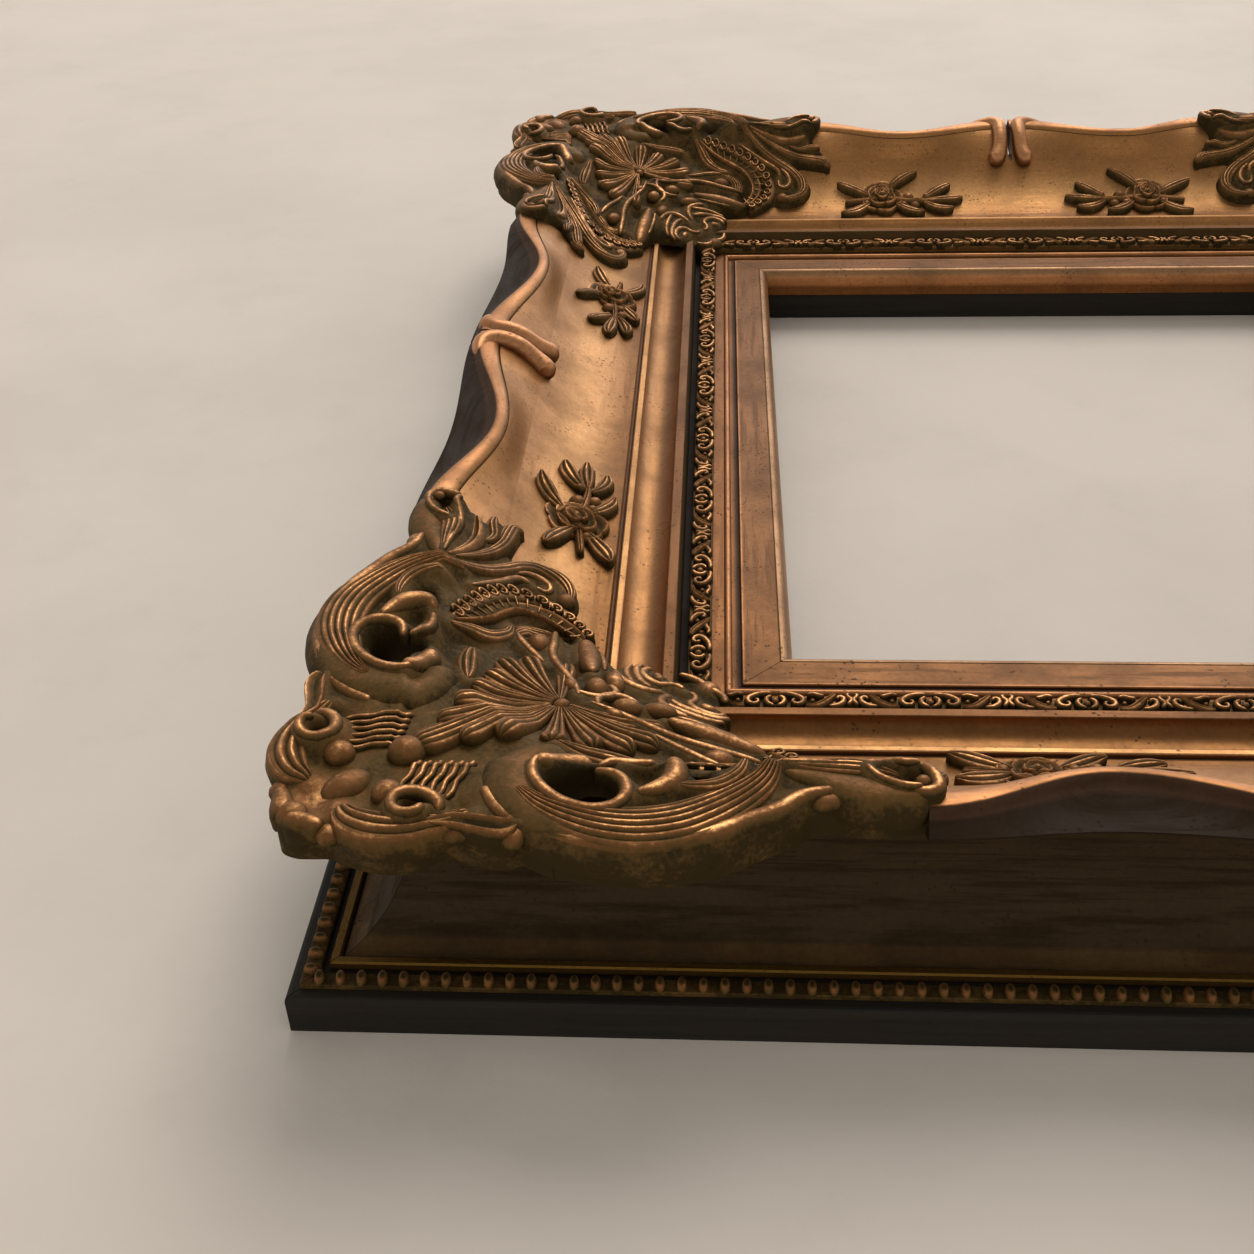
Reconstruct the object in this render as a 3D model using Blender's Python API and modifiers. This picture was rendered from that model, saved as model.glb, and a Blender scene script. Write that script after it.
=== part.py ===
"""Open-corner picture frame: a swept, gilded moulding with pierced corner ornaments.

The frame lies on its back, face up: X runs along the short sides, Y along the long sides and
Z up from the surface it lies on. Each rail is drawn as a section, with "out" counted outwards
from the sight edge and "height" up from the back, then mitred and turned to its side.
"""

import math

import bmesh
import bpy
from mathutils import Matrix, Vector

MM = 0.001

# Clearances between pieces
GAP = 0.3 * MM
MITRE_GAP = GAP / math.sqrt(2.0)
FLAT_ANGLE = math.radians(1.0)

# Picture size: a 16 by 20 inch rabbet, covered all round by the sight lip
RABBET_WIDTH = 406.4 * MM
RABBET_LENGTH = 508.0 * MM
RABBET_COVER = 6.2 * MM
SIGHT_WIDTH = RABBET_WIDTH - 2.0 * RABBET_COVER
SIGHT_LENGTH = RABBET_LENGTH - 2.0 * RABBET_COVER

# Base rails: flat mitred boards under everything
RAIL_OUT = 201.0 * MM
BASE_HEIGHT = 18.0 * MM
BASE_ROUND = 2.0 * MM

# Slip: the flat inner band with a rounded lip
SLIP_OUT = 24.5 * MM
SLIP_TOP = 39.2 * MM
SLIP_SEAT = 31.0 * MM
LIP_BOTTOM = 26.8 * MM
LIP_WIDTH = 5.4 * MM

# Cove rail: the main moulding
QUIRK_TOP = 37.8 * MM
BEAD_IN, BEAD_OUT = 29.2 * MM, 32.8 * MM
FLAT_TOP = 39.0 * MM
GROOVE_IN, GROOVE_OUT = 50.4 * MM, 54.0 * MM
GROOVE_FLOOR = 36.0 * MM
FILLET_TOP = 50.0 * MM
INNER_FILLET = (56.0 * MM, 61.4 * MM)
OUTER_FILLET = (82.4 * MM, 86.0 * MM)
HOLLOW_DEPTH = 8.0 * MM
PANEL_START = 89.0 * MM
PANEL_START_HEIGHT = 48.8 * MM
PANEL_POWER = 1.75
CREST_SEAT_IN, CREST_SEAT_WIDTH = 141.0 * MM, 17.0 * MM
CREST_SEAT_OUT = CREST_SEAT_IN + CREST_SEAT_WIDTH
CREST_HEIGHT = 97.5 * MM
PANEL_REACH = 160.0 * MM
BACK_COVE_FOOT = 186.0 * MM
BACK_COVE_STEP = 1.4 * MM
BACK_COVE_TOP = 62.0 * MM
BACK_COVE_UNDERCUT = 1.5 * MM
BACK_COVE_WAIST = CREST_SEAT_OUT - BACK_COVE_UNDERCUT

# Strips laid on the rails
BAND_IN, BAND_OUT = 39.2 * MM, 50.0 * MM
BAND_HEIGHT = 7.2 * MM
BEADS_IN, BEADS_OUT = 189.2 * MM, 195.9 * MM

# Crests: the swept rim
CREST_FEATHER, CREST_SINK = 1.5 * MM, 2.0 * MM
RIDGE_DIP, RIDGE_SWELL = 154.5 * MM, 177.0 * MM
RIDGE_LIFT = 2.0 * MM
EDGE_DIP, EDGE_SWELL = 180.0 * MM, 185.5 * MM
EDGE_DROP = 6.5 * MM
EDGE_HEIGHT = CREST_HEIGHT - EDGE_DROP
DIP_PLACE = 0.45
CREST_STATIONS = 6
CARTOUCHE_REACH = 45.5 * MM
BREAK_HALF_GAP = 1.5 * MM
SCROLL_RADIUS = 6.0 * MM

# Unit that the carving tables are drawn in
CARVING_UNIT = 1.0 * MM

# Corner cartouches, drawn along the mitre and across it
SHELF_UNDER = 85.0 * MM
CARTOUCHE_FLOOR = 30.0 * MM
CORNER_ARM = 1.6 * RAIL_OUT
SHELL_FOCUS, SHELL_FOCUS_HEIGHT = 142.0 * MM, 87.0 * MM
SHELL_RISE = 8.0 * MM
SHELL_RIBS = 9
SHELL_SPREAD = math.radians(116.0)
SHELL_SIDE, SHELL_LONG = 36.0 * MM, 74.0 * MM

# Sprigs on the panel cove, drawn along the rail from the sight corner and outwards
SPRIG_STEM_RADIUS = 2.6 * MM
SPRIG_LEAF_HEIGHT = 4.5 * MM

# Mitre keys: bow ties let into the back
KEY_LENGTH = 70.0 * MM
KEY_END, KEY_WAIST = 34.0 * MM, 18.0 * MM
KEY_DEPTH = 10.0 * MM
KEY_OUT = 105.0 * MM
KEY_PLACE = KEY_OUT * math.sqrt(2.0)

# Hangers in the backs of the long rails
HANGER_Y = 110.0 * MM
HANGER_OUT = 60.0 * MM
POCKET_WIDTH, POCKET_DEPTH, POCKET_MARGIN = 30.0 * MM, 8.0 * MM, 3.0 * MM
STRAP_WIDTH, STRAP_THICKNESS, STRAP_LENGTH = 14.0 * MM, 1.5 * MM, 36.0 * MM
WIRE_RADIUS = 1.5 * MM
KNUCKLE_BORE = WIRE_RADIUS + 0.35 * MM
KNUCKLE_RADIUS = KNUCKLE_BORE + STRAP_THICKNESS
RING_HALF_WIDTH = 10.5 * MM
RING_REACH = 19.0 * MM
SCREW_RADIUS, SCREW_LENGTH = 1.6 * MM, 9.0 * MM
SCREW_HEAD_RADIUS, SCREW_HEAD_HEIGHT = 3.4 * MM, 1.6 * MM
SCREW_PLACES = (10.0 * MM, 27.0 * MM)
SCREW_SIDES = 10
BORE_SIDES = 16

RING_AXIS_HEIGHT = POCKET_DEPTH - GAP - KNUCKLE_RADIUS
RING_DROOP = math.asin((RING_AXIS_HEIGHT - WIRE_RADIUS - 0.2 * MM) / RING_REACH)

MITRE_TURN = 45.0
SIDES = {
    "near": (SIGHT_WIDTH, (0.0, -SIGHT_LENGTH / 2.0), 0.0),
    "right": (SIGHT_LENGTH, (SIGHT_WIDTH / 2.0, 0.0), 90.0),
    "far": (SIGHT_WIDTH, (0.0, SIGHT_LENGTH / 2.0), 180.0),
    "left": (SIGHT_LENGTH, (-SIGHT_WIDTH / 2.0, 0.0), 270.0),
}
CORNERS = {
    "near_left": ((-SIGHT_WIDTH / 2.0, -SIGHT_LENGTH / 2.0), MITRE_TURN + 180.0),
    "near_right": ((SIGHT_WIDTH / 2.0, -SIGHT_LENGTH / 2.0), MITRE_TURN + 270.0),
    "far_right": ((SIGHT_WIDTH / 2.0, SIGHT_LENGTH / 2.0), MITRE_TURN),
    "far_left": ((-SIGHT_WIDTH / 2.0, SIGHT_LENGTH / 2.0), MITRE_TURN + 90.0),
}


def clear_scene():
    """Remove whatever the scene holds."""
    for obj in list(bpy.data.objects):
        bpy.data.objects.remove(obj, do_unlink=True)


def make_collection(name):
    """Make a collection under the scene's own."""
    collection = bpy.data.collections.new(name)
    bpy.context.scene.collection.children.link(collection)
    return collection


def make_material(name, colour, roughness, metallic):
    """Make a plain Principled material."""
    material = bpy.data.materials.new(name)
    material.use_nodes = True
    shader = material.node_tree.nodes["Principled BSDF"]
    shader.inputs["Base Color"].default_value = (*colour, 1.0)
    shader.inputs["Roughness"].default_value = roughness
    shader.inputs["Metallic"].default_value = metallic
    return material


def make_object(name, mesh, collection, material=None):
    """Wrap a mesh in an object of a collection."""
    obj = bpy.data.objects.new(name, mesh)
    collection.objects.link(obj)
    if material is not None and not mesh.materials:
        mesh.materials.append(material)
    return obj


def finish_mesh(bm, name):
    """Turn a bmesh into a mesh with its faces out."""
    bmesh.ops.remove_doubles(bm, verts=bm.verts, dist=0.001 * MM)
    bmesh.ops.recalc_face_normals(bm, faces=bm.faces)
    mesh = bpy.data.meshes.new(name)
    bm.to_mesh(mesh)
    bm.free()
    return mesh


def evaluated_mesh(obj, name):
    """Mesh of an object with its modifiers or curve settings applied, ends welded."""
    depsgraph = bpy.context.evaluated_depsgraph_get()
    mesh = bpy.data.meshes.new_from_object(obj.evaluated_get(depsgraph))
    bm = bmesh.new()
    bm.from_mesh(mesh)
    bm.transform(obj.matrix_world)
    bpy.data.meshes.remove(mesh)
    return finish_mesh(bm, name)


def outline_mesh(name, outline, thickness, holes=()):
    """Flat outline extruded to a thickness, centred on its plane."""
    curve = bpy.data.curves.new(name, "CURVE")
    curve.dimensions = "2D"
    curve.fill_mode = "BOTH"
    curve.extrude = thickness / 2.0
    for points in (outline, *holes):
        spline = curve.splines.new("POLY")
        spline.points.add(len(points) - 1)
        for point, (x, y) in zip(spline.points, points):
            point.co = (x, y, 0.0, 1.0)
        spline.use_cyclic_u = True
    obj = bpy.data.objects.new(name, curve)
    bpy.context.scene.collection.objects.link(obj)
    bpy.context.view_layer.update()
    mesh = evaluated_mesh(obj, name)
    bpy.data.objects.remove(obj, do_unlink=True)
    return mesh


def tube_mesh(name, stations, sides=1, cyclic=False):
    """Round bar through (x, y, z, radius) stations, with filled ends."""
    curve = bpy.data.curves.new(name, "CURVE")
    curve.dimensions = "3D"
    curve.bevel_depth = 1.0
    curve.bevel_resolution = sides
    curve.use_fill_caps = True
    spline = curve.splines.new("POLY")
    spline.points.add(len(stations) - 1)
    for point, (x, y, z, radius) in zip(spline.points, stations):
        point.co = (x, y, z, 1.0)
        point.radius = radius
    spline.use_cyclic_u = cyclic
    obj = bpy.data.objects.new(name, curve)
    bpy.context.scene.collection.objects.link(obj)
    bpy.context.view_layer.update()
    mesh = evaluated_mesh(obj, name)
    bpy.data.objects.remove(obj, do_unlink=True)
    return mesh


def turned_mesh(name, profile, steps=SCREW_SIDES):
    """Solid of revolution about Z from an (radius, height) profile that starts and ends on it."""
    mesh = bpy.data.meshes.new(name)
    edges = [(index, index + 1) for index in range(len(profile) - 1)]
    mesh.from_pydata([(radius, 0.0, height) for radius, height in profile], edges, [])
    obj = bpy.data.objects.new(name, mesh)
    bpy.context.scene.collection.objects.link(obj)
    screw = obj.modifiers.new("turn", "SCREW")
    screw.steps = screw.render_steps = steps
    screw.use_merge_vertices = True
    screw.merge_threshold = 0.01 * MM
    bpy.context.view_layer.update()
    result = evaluated_mesh(obj, name)
    bpy.data.objects.remove(obj, do_unlink=True)
    return result


def box_mesh(name, low, high):
    """Box between two corners."""
    low, high = Vector(low), Vector(high)
    bm = bmesh.new()
    bmesh.ops.create_cube(bm, size=1.0, matrix=Matrix.Translation((low + high) / 2.0)
                          @ Matrix.Diagonal((*(high - low), 1.0)))
    return finish_mesh(bm, name)


def loft_mesh(name, rings):
    """Closed loft through rings that have the same number of points."""
    bm = bmesh.new()
    loops = [[bm.verts.new(point) for point in ring] for ring in rings]
    for before, after in zip(loops, loops[1:]):
        count = len(before)
        for index in range(count):
            following = (index + 1) % count
            bm.faces.new((before[index], before[following], after[following], after[index]))
    bm.faces.new(loops[0])
    bm.faces.new(loops[-1])
    bmesh.ops.triangulate(bm, faces=bm.faces)
    return finish_mesh(bm, name)


def ball_mesh(name, centre, radii, turn=0.0, segments=5, rings=4):
    """Ellipsoid with three radii, turned about Z."""
    bm = bmesh.new()
    place = (Matrix.Translation(centre) @ Matrix.Rotation(turn, 4, "Z")
             @ Matrix.Diagonal((*radii, 1.0)))
    bmesh.ops.create_uvsphere(bm, u_segments=segments, v_segments=rings, radius=1.0,
                              matrix=place)
    return finish_mesh(bm, name)


def combine(target, tools, operation, cutters):
    """Add a Boolean modifier for each tool, and keep the tools with the cutters."""
    for index, tool in enumerate(tools):
        if tool.name not in cutters.objects:
            cutters.objects.link(tool)
        tool.hide_render = True
        tool.display_type = "WIRE"
        modifier = target.modifiers.new(f"{operation.lower()}_{index}", "BOOLEAN")
        modifier.operation = operation
        modifier.solver = "EXACT"
        modifier.object = tool


def tidy_mesh(mesh, name):
    """Join the flat slivers that Boolean cuts leave."""
    bm = bmesh.new()
    bm.from_mesh(mesh)
    bmesh.ops.dissolve_limit(bm, angle_limit=FLAT_ANGLE, verts=bm.verts, edges=bm.edges)
    bmesh.ops.triangulate(bm, faces=bm.faces)
    return finish_mesh(bm, name)


def fused_mesh(name, meshes, cutting_mesh=None):
    """One closed mesh from overlapping ones, less a cutting mesh."""
    group = bpy.data.collections.new(name)
    bpy.context.scene.collection.children.link(group)
    body = bpy.data.objects.new(name, meshes[0])
    bpy.context.scene.collection.objects.link(body)
    for index, mesh in enumerate(meshes[1:]):
        group.objects.link(bpy.data.objects.new(f"{name}_{index}", mesh))
    join = body.modifiers.new("join", "BOOLEAN")
    join.operation = "UNION"
    join.solver = "EXACT"
    join.operand_type = "COLLECTION"
    join.collection = group
    temporary = [body, *group.objects]
    if cutting_mesh is not None:
        cutter = bpy.data.objects.new(f"{name}_cut", cutting_mesh)
        bpy.context.scene.collection.objects.link(cutter)
        temporary.append(cutter)
        cut = body.modifiers.new("cut", "BOOLEAN")
        cut.operation = "DIFFERENCE"
        cut.solver = "EXACT"
        cut.object = cutter
    bpy.context.view_layer.update()
    result = evaluated_mesh(body, name)
    for obj in temporary:
        bpy.data.objects.remove(obj, do_unlink=True)
    bpy.data.collections.remove(group)
    return result


def intersected_mesh(name, mesh, other):
    """The part of a mesh that lies inside another."""
    scene = bpy.context.scene.collection
    body = bpy.data.objects.new(name, mesh)
    tool = bpy.data.objects.new(f"{name}_tool", other)
    scene.objects.link(body)
    scene.objects.link(tool)
    modifier = body.modifiers.new("keep", "BOOLEAN")
    modifier.operation = "INTERSECT"
    modifier.solver = "EXACT"
    modifier.object = tool
    bpy.context.view_layer.update()
    result = evaluated_mesh(body, name)
    for obj in (body, tool):
        bpy.data.objects.remove(obj, do_unlink=True)
    return result


def largest_body(mesh, name):
    """Keep the largest connected body of a mesh."""
    bm = bmesh.new()
    bm.from_mesh(mesh)
    left = set(bm.verts)
    bodies = []
    while left:
        seed = left.pop()
        body, front = {seed}, [seed]
        while front:
            for edge in front.pop().link_edges:
                for vert in edge.verts:
                    if vert in left:
                        left.discard(vert)
                        body.add(vert)
                        front.append(vert)
        bodies.append(body)
    bodies.sort(key=len)
    crumbs = [vert for body in bodies[:-1] for vert in body]
    bmesh.ops.delete(bm, geom=crumbs, context="VERTS")
    return tidy_mesh(finish_mesh(bm, name), name)


def arc(centre, radii, start, end, steps):
    """Points of an elliptical arc between two angles in degrees."""
    points = []
    for index in range(steps + 1):
        angle = math.radians(start + (end - start) * index / steps)
        points.append((centre[0] + radii[0] * math.cos(angle),
                       centre[1] + radii[1] * math.sin(angle)))
    return points


def round_loop(centre, radii, steps):
    """Points round a whole ellipse, each named once."""
    return arc(centre, radii, 0.0, 360.0, steps)[:-1]


def panel_height(out):
    """Height of the gilded panel cove at a distance out from the sight edge."""
    share = max(0.0, out - PANEL_START) / (PANEL_REACH - PANEL_START)
    return PANEL_START_HEIGHT + (CREST_HEIGHT - PANEL_START_HEIGHT) * share ** PANEL_POWER


def base_section():
    """Section of a base board, with its outer arris rounded."""
    rounding = arc((RAIL_OUT - BASE_ROUND, BASE_HEIGHT - BASE_ROUND), (BASE_ROUND, BASE_ROUND),
                   0.0, 90.0, 3)
    return [(RABBET_COVER, 0.0), (RAIL_OUT, 0.0), *rounding, (RABBET_COVER, BASE_HEIGHT)]


def slip_section():
    """Section of the inner band, its lip rounded over into the opening."""
    lip = arc((LIP_WIDTH, LIP_BOTTOM + 3.0 * MM), (LIP_WIDTH, SLIP_TOP - LIP_BOTTOM - 3.0 * MM),
              180.0, 90.0, 5)
    return [(RABBET_COVER - GAP, LIP_BOTTOM), (RABBET_COVER - GAP, SLIP_SEAT),
            (SLIP_OUT, SLIP_SEAT), (SLIP_OUT, SLIP_TOP), *reversed(lip), (0.0, LIP_BOTTOM)]


def cove_section(grow=0.0):
    """Section of the main moulding; grow swells it into the cutter that seats ornaments."""
    base = BASE_HEIGHT + GAP
    hollow_mid = (INNER_FILLET[1] + OUTER_FILLET[0]) / 2.0
    hollow_half = (OUTER_FILLET[0] - INNER_FILLET[1]) / 2.0
    bead = arc(((BEAD_IN + BEAD_OUT) / 2.0, QUIRK_TOP + 1.0 * MM),
               ((BEAD_OUT - BEAD_IN) / 2.0, 2.0 * MM), 180.0, 20.0, 4)
    hollow = arc((hollow_mid, FILLET_TOP), (hollow_half, HOLLOW_DEPTH), 180.0, 360.0, 7)
    panel_outs = [PANEL_START + (CREST_SEAT_IN - PANEL_START) * step / 6.0 for step in range(7)]
    panel = [(out, panel_height(out)) for out in panel_outs]
    seat_height = panel[-1][1]
    cove = arc((BACK_COVE_FOOT + 2.0 * MM, BACK_COVE_TOP),
               (BACK_COVE_FOOT + 2.0 * MM - BACK_COVE_WAIST,
                BACK_COVE_TOP - base - BACK_COVE_STEP), 180.0, 266.0, 7)
    upper = [
        (SLIP_OUT + GAP, SLIP_SEAT - GAP), (SLIP_OUT + GAP, QUIRK_TOP), (BEAD_IN, QUIRK_TOP),
        *bead, (BEAD_OUT, FLAT_TOP), (GROOVE_IN, FLAT_TOP), (GROOVE_IN + 0.3 * MM, GROOVE_FLOOR),
        (GROOVE_OUT, GROOVE_FLOOR), (INNER_FILLET[0], FILLET_TOP), *hollow,
        (OUTER_FILLET[1], FILLET_TOP), (OUTER_FILLET[1] + 0.6 * MM, PANEL_START_HEIGHT - 0.8 * MM),
        *panel]
    if grow:
        band_top = FLAT_TOP + BAND_HEIGHT + 2.0 * grow
        return ([(GROOVE_OUT, 0.0), (BEAD_IN, 0.0), (BEAD_IN, FLAT_TOP + grow),
                 (BAND_IN - grow, FLAT_TOP + grow), (BAND_IN - grow, band_top),
                 (INNER_FILLET[0] - 2.0 * grow, band_top),
                 (INNER_FILLET[0] - grow, FILLET_TOP + grow),
                 (OUTER_FILLET[1], FILLET_TOP + grow)]
                + [(out - grow * 0.3, height + grow) for out, height in panel]
                + [(CREST_SEAT_OUT + grow, seat_height + grow), (CREST_SEAT_OUT + grow, 0.0)])
    return [(RABBET_COVER, base), (RABBET_COVER, SLIP_SEAT - GAP), *upper,
            (CREST_SEAT_OUT, seat_height), *cove, (BACK_COVE_FOOT, base + BACK_COVE_STEP),
            (BACK_COVE_FOOT, base)]


def band_section():
    """Section of the carved running band, plain and rounded."""
    middle = (BAND_IN + BAND_OUT) / 2.0
    floor = FLAT_TOP + GAP
    crown = arc((middle, floor + 1.5 * MM), ((BAND_OUT - BAND_IN) / 2.0, BAND_HEIGHT - 1.5 * MM),
                0.0, 180.0, 7)
    return [(BAND_IN, floor), (BAND_OUT, floor), *crown]


def beads_section():
    """Section of the bead row on the base, plain and half round."""
    middle = (BEADS_IN + BEADS_OUT) / 2.0
    floor = BASE_HEIGHT + GAP
    radius = (BEADS_OUT - BEADS_IN) / 2.0
    return [(BEADS_IN, floor), (BEADS_OUT, floor), *arc((middle, floor + 2.4 * MM),
                                                        (radius, radius), 0.0, 180.0, 6)]


def mitred_mesh(name, section, side_length, mitre_gap=MITRE_GAP):
    """Extrude a section along a side, its two ends sheared to the mitre."""
    mesh = outline_mesh(name, section, 1.0)
    bm = bmesh.new()
    bm.from_mesh(mesh)
    bpy.data.meshes.remove(mesh)
    for vert in bm.verts:
        out, height, along = vert.co
        reach = side_length + 2.0 * out - 2.0 * mitre_gap
        vert.co = (along * reach, -out, height)
    return finish_mesh(bm, name)


def place_on_side(obj, side):
    """Turn an object drawn on the near side to its own side."""
    _, (x, y), turn = SIDES[side]
    obj.location = (x, y, 0.0)
    obj.rotation_euler = (0.0, 0.0, math.radians(turn))


def make_rails(parts, materials):
    """Make the four mitred lengths of every moulding."""
    kinds = (
        ("base_rail", base_section(), "dark_wood"),
        ("cove_rail", cove_section(), "gilding"),
        ("slip", slip_section(), "gilding"),
        ("carved_band", band_section(), "bronze_gilding"),
        ("bead_row", beads_section(), "bronze_gilding"),
    )
    rails = {}
    for kind, section, material in kinds:
        for side, (side_length, _, _) in SIDES.items():
            mesh = mitred_mesh(f"{kind}_{side}", section, side_length)
            rail = make_object(f"{kind}_{side}", mesh, parts, materials[material])
            place_on_side(rail, side)
            rails[f"{kind}_{side}"] = rail
    return rails


def swell(share):
    """How far the rim has swept out, 0 at the dip and 1 at either end."""
    if share < DIP_PLACE:
        place = (DIP_PLACE - share) / DIP_PLACE
    else:
        place = (share - DIP_PLACE) / (1.0 - DIP_PLACE)
    return 0.5 - 0.5 * math.cos(math.pi * min(1.0, place))


def crest_section(share):
    """Closed section of the rim at a share of its length from the corner."""
    out = swell(share)
    ridge = RIDGE_DIP + (RIDGE_SWELL - RIDGE_DIP) * out
    edge = EDGE_DIP + (EDGE_SWELL - EDGE_DIP) * out
    top = CREST_HEIGHT + RIDGE_LIFT * out
    seat = panel_height(CREST_SEAT_IN) + GAP
    foot, under = CREST_SEAT_IN - CREST_FEATHER, seat - CREST_SINK
    rise = ridge - 4.0 * MM - foot
    return [
        (foot, under), (foot + rise * 0.5, seat + (top - seat) * 0.40),
        (ridge - 4.0 * MM, top - 3.4 * MM), (ridge - 1.4 * MM, top - 0.3 * MM),
        (ridge + 2.4 * MM, top - 0.4 * MM), (edge - 1.2 * MM, EDGE_HEIGHT + 1.6 * MM),
        (edge, EDGE_HEIGHT - 0.6 * MM), (edge - 2.0 * MM, EDGE_HEIGHT - 3.0 * MM),
        (CREST_SEAT_OUT + 8.0 * MM, seat + 4.0 * MM), (CREST_SEAT_OUT - 1.0 * MM, seat + GAP),
        (CREST_SEAT_OUT - 2.0 * MM, under)]


def crest_body(name, length):
    """Loft the rim's sections along X, from its corner end to the break."""
    shares = [station / (CREST_STATIONS - 1) for station in range(CREST_STATIONS)]
    return loft_mesh(name, [[Vector((share * length, -out, height))
                             for out, height in crest_section(share)] for share in shares])


def break_scroll(name, length):
    """The scroll that ends the rim at the break and runs down onto the panel."""
    seat = panel_height(CREST_SEAT_IN)
    rise = CREST_HEIGHT + RIDGE_LIFT - seat
    ridge = ((-24.0, 176.0, 0.85, 0.6), (-7.0, 177.0, 0.93, 1.0), (-6.0, 160.0, 0.68, 1.0))
    hook = ((-8.0, 147.0, 3.0, 0.85), (-13.0, 134.0, 2.5, 0.7), (-25.0, 131.0, 3.0, 0.6))
    stations = [(along, out, seat + rise * share, size) for along, out, share, size in ridge]
    stations += [(along, out, panel_height(out * CARVING_UNIT) + lift * CARVING_UNIT, size)
                 for along, out, lift, size in hook]
    return tube_mesh(name, [(length + along * CARVING_UNIT, -out * CARVING_UNIT, height,
                             SCROLL_RADIUS * size) for along, out, height, size in stations])


def panel_cutter_mesh(name):
    """The moulding of one rail as a cutter, a metre along X from the sight corner."""
    cutter = outline_mesh(name, cove_section(GAP), 1.0)
    for vert in cutter.vertices:
        out, height, along = vert.co
        vert.co = (along, -out, height)
    cutter.flip_normals()
    return cutter


def handed(mesh, shift):
    """A piece drawn on the near side and its mirror image, both moved out from mid side."""
    mesh.transform(Matrix.Translation((shift, 0.0, 0.0)))
    other = mesh.copy()
    other.transform(Matrix.Scale(-1.0, 4, (1.0, 0.0, 0.0)))
    other.flip_normals()
    return (("a", mesh), ("b", other))


def make_crests(parts, material):
    """Make two rims to each side, with a break between them in mid side."""
    for side, (side_length, _, _) in SIDES.items():
        length = side_length / 2.0 - CARTOUCHE_REACH - BREAK_HALF_GAP
        pieces = [crest_body(f"crest_{side}", length), break_scroll(f"scroll_{side}", length)]
        mesh = largest_body(fused_mesh(f"crest_{side}", pieces, panel_cutter_mesh("panel_cut")),
                            f"crest_{side}")
        for end, copy in handed(mesh, -length - BREAK_HALF_GAP):
            crest = make_object(f"crest_{side}_{end}", copy, parts, material)
            place_on_side(crest, side)


SPRIG_STEM = ((64, 104), (95, 112), (124, 107), (150, 112))
SPRIG_LEAVES = ((53, 87, 80, 106, 7.0), (55, 119, 82, 109, 6.0), (97, 114, 108, 134, 6.0),
                (112, 110, 128, 91, 5.5), (128, 108, 154, 123, 6.0), (140, 110, 165, 110, 5.0))
SPRIG_ROSE = (93, 112.5, 11.0, 8.0)


def sprig_mesh():
    """Rose spray on the panel cove, with X along the rail from the sight corner."""
    unit = CARVING_UNIT
    rose_along, rose_out, rose_radius, rose_height = SPRIG_ROSE
    stations = [(along * unit, -out * unit, panel_height(out * unit) + 1.5 * unit,
                 SPRIG_STEM_RADIUS * (1.15 - 0.004 * abs(along - rose_along)))
                for along, out in SPRIG_STEM]
    pieces = [tube_mesh("stem", stations)]
    for index, (from_x, from_out, to_x, to_out, half_width) in enumerate(SPRIG_LEAVES):
        start, end = Vector((from_x, -from_out)), Vector((to_x, -to_out))
        middle, run = (start + end) / 2.0 * unit, end - start
        centre = Vector((middle.x, middle.y, panel_height(-middle.y) + 1.0 * unit))
        radii = (run.length / 2.0 * unit, half_width * unit, SPRIG_LEAF_HEIGHT)
        pieces.append(ball_mesh(f"leaf_{index}", centre, radii, math.atan2(run.y, run.x), 4, 3))
    rose = Vector((rose_along * unit, -rose_out * unit,
                   panel_height(rose_out * unit) + 2.0 * unit))
    pieces.append(ball_mesh("rose", rose, (rose_radius * unit, rose_radius * unit,
                                           rose_height * unit)))
    return largest_body(fused_mesh("sprig", pieces, panel_cutter_mesh("panel_cut")), "sprig")


def make_sprigs(parts, material):
    """Lay a sprig on the panel near each end of every side."""
    for side, (side_length, _, _) in SIDES.items():
        for end, copy in handed(sprig_mesh(), -side_length / 2.0):
            place_on_side(make_object(f"sprig_{side}_{end}", copy, parts, material), side)


def mirrored(points):
    """The same (along, across, ...) points on the other side of the mitre."""
    return [(point[0], -point[1], *point[2:]) for point in points]


# Half the cartouche's outline, from its inner tip round to the outer corner
HALF_OUTLINE = (
    (52.0, 0.0), (63.0, 15.0), (84.0, 36.0), (76.0, 66.0), (58.0, 88.0), (55.0, 106.0),
    (74.0, 117.0), (57.0, 130.0), (62.0, 134.4), (66.3, 130.2), (98.6, 162.5), (106.6, 148.0),
    (118.0, 135.4), (126.4, 125.6), (150.0, 122.0), (172.0, 115.0), (190.5, 103.0),
    (210.7, 76.2), (213.5, 64.0), (222.0, 61.0), (229.0, 45.0), (246.0, 41.0), (259.0, 23.0),
    (272.6, 6.0), (273.0, 0.0))


def half_outline():
    """Half the cartouche's outline in metres."""
    return [(along * CARVING_UNIT, across * CARVING_UNIT) for along, across in HALF_OUTLINE]


def corner_sweep(name, section):
    """Sweep a section round one corner, drawn with X out along the mitre."""
    rings = [[Vector((CORNER_ARM, -out, height)) for out, height in section],
             [Vector((-out, -out, height)) for out, height in section],
             [Vector((-out, CORNER_ARM, height)) for out, height in section]]
    corner = loft_mesh(name, rings)
    corner.transform(Matrix.Rotation(math.radians(-MITRE_TURN - 180.0), 4, "Z"))
    return corner


def seat_section():
    """Everything below the ornament: the moulding and the air under the overhang."""
    outer = 1.3 * RAIL_OUT
    return cove_section(GAP)[:-1] + [
        (CREST_SEAT_OUT + GAP, SHELF_UNDER), (outer, SHELF_UNDER), (outer, 0.0)]


# Top of the ornament's ground, out from the sight edge and up from the back
BLANKET = ((38.0, 48.0), (56.0, 52.0), (86.0, 56.0), (110.0, 67.0), (134.0, 82.0),
           (160.0, 97.0), (225.0, 99.0))


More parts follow.
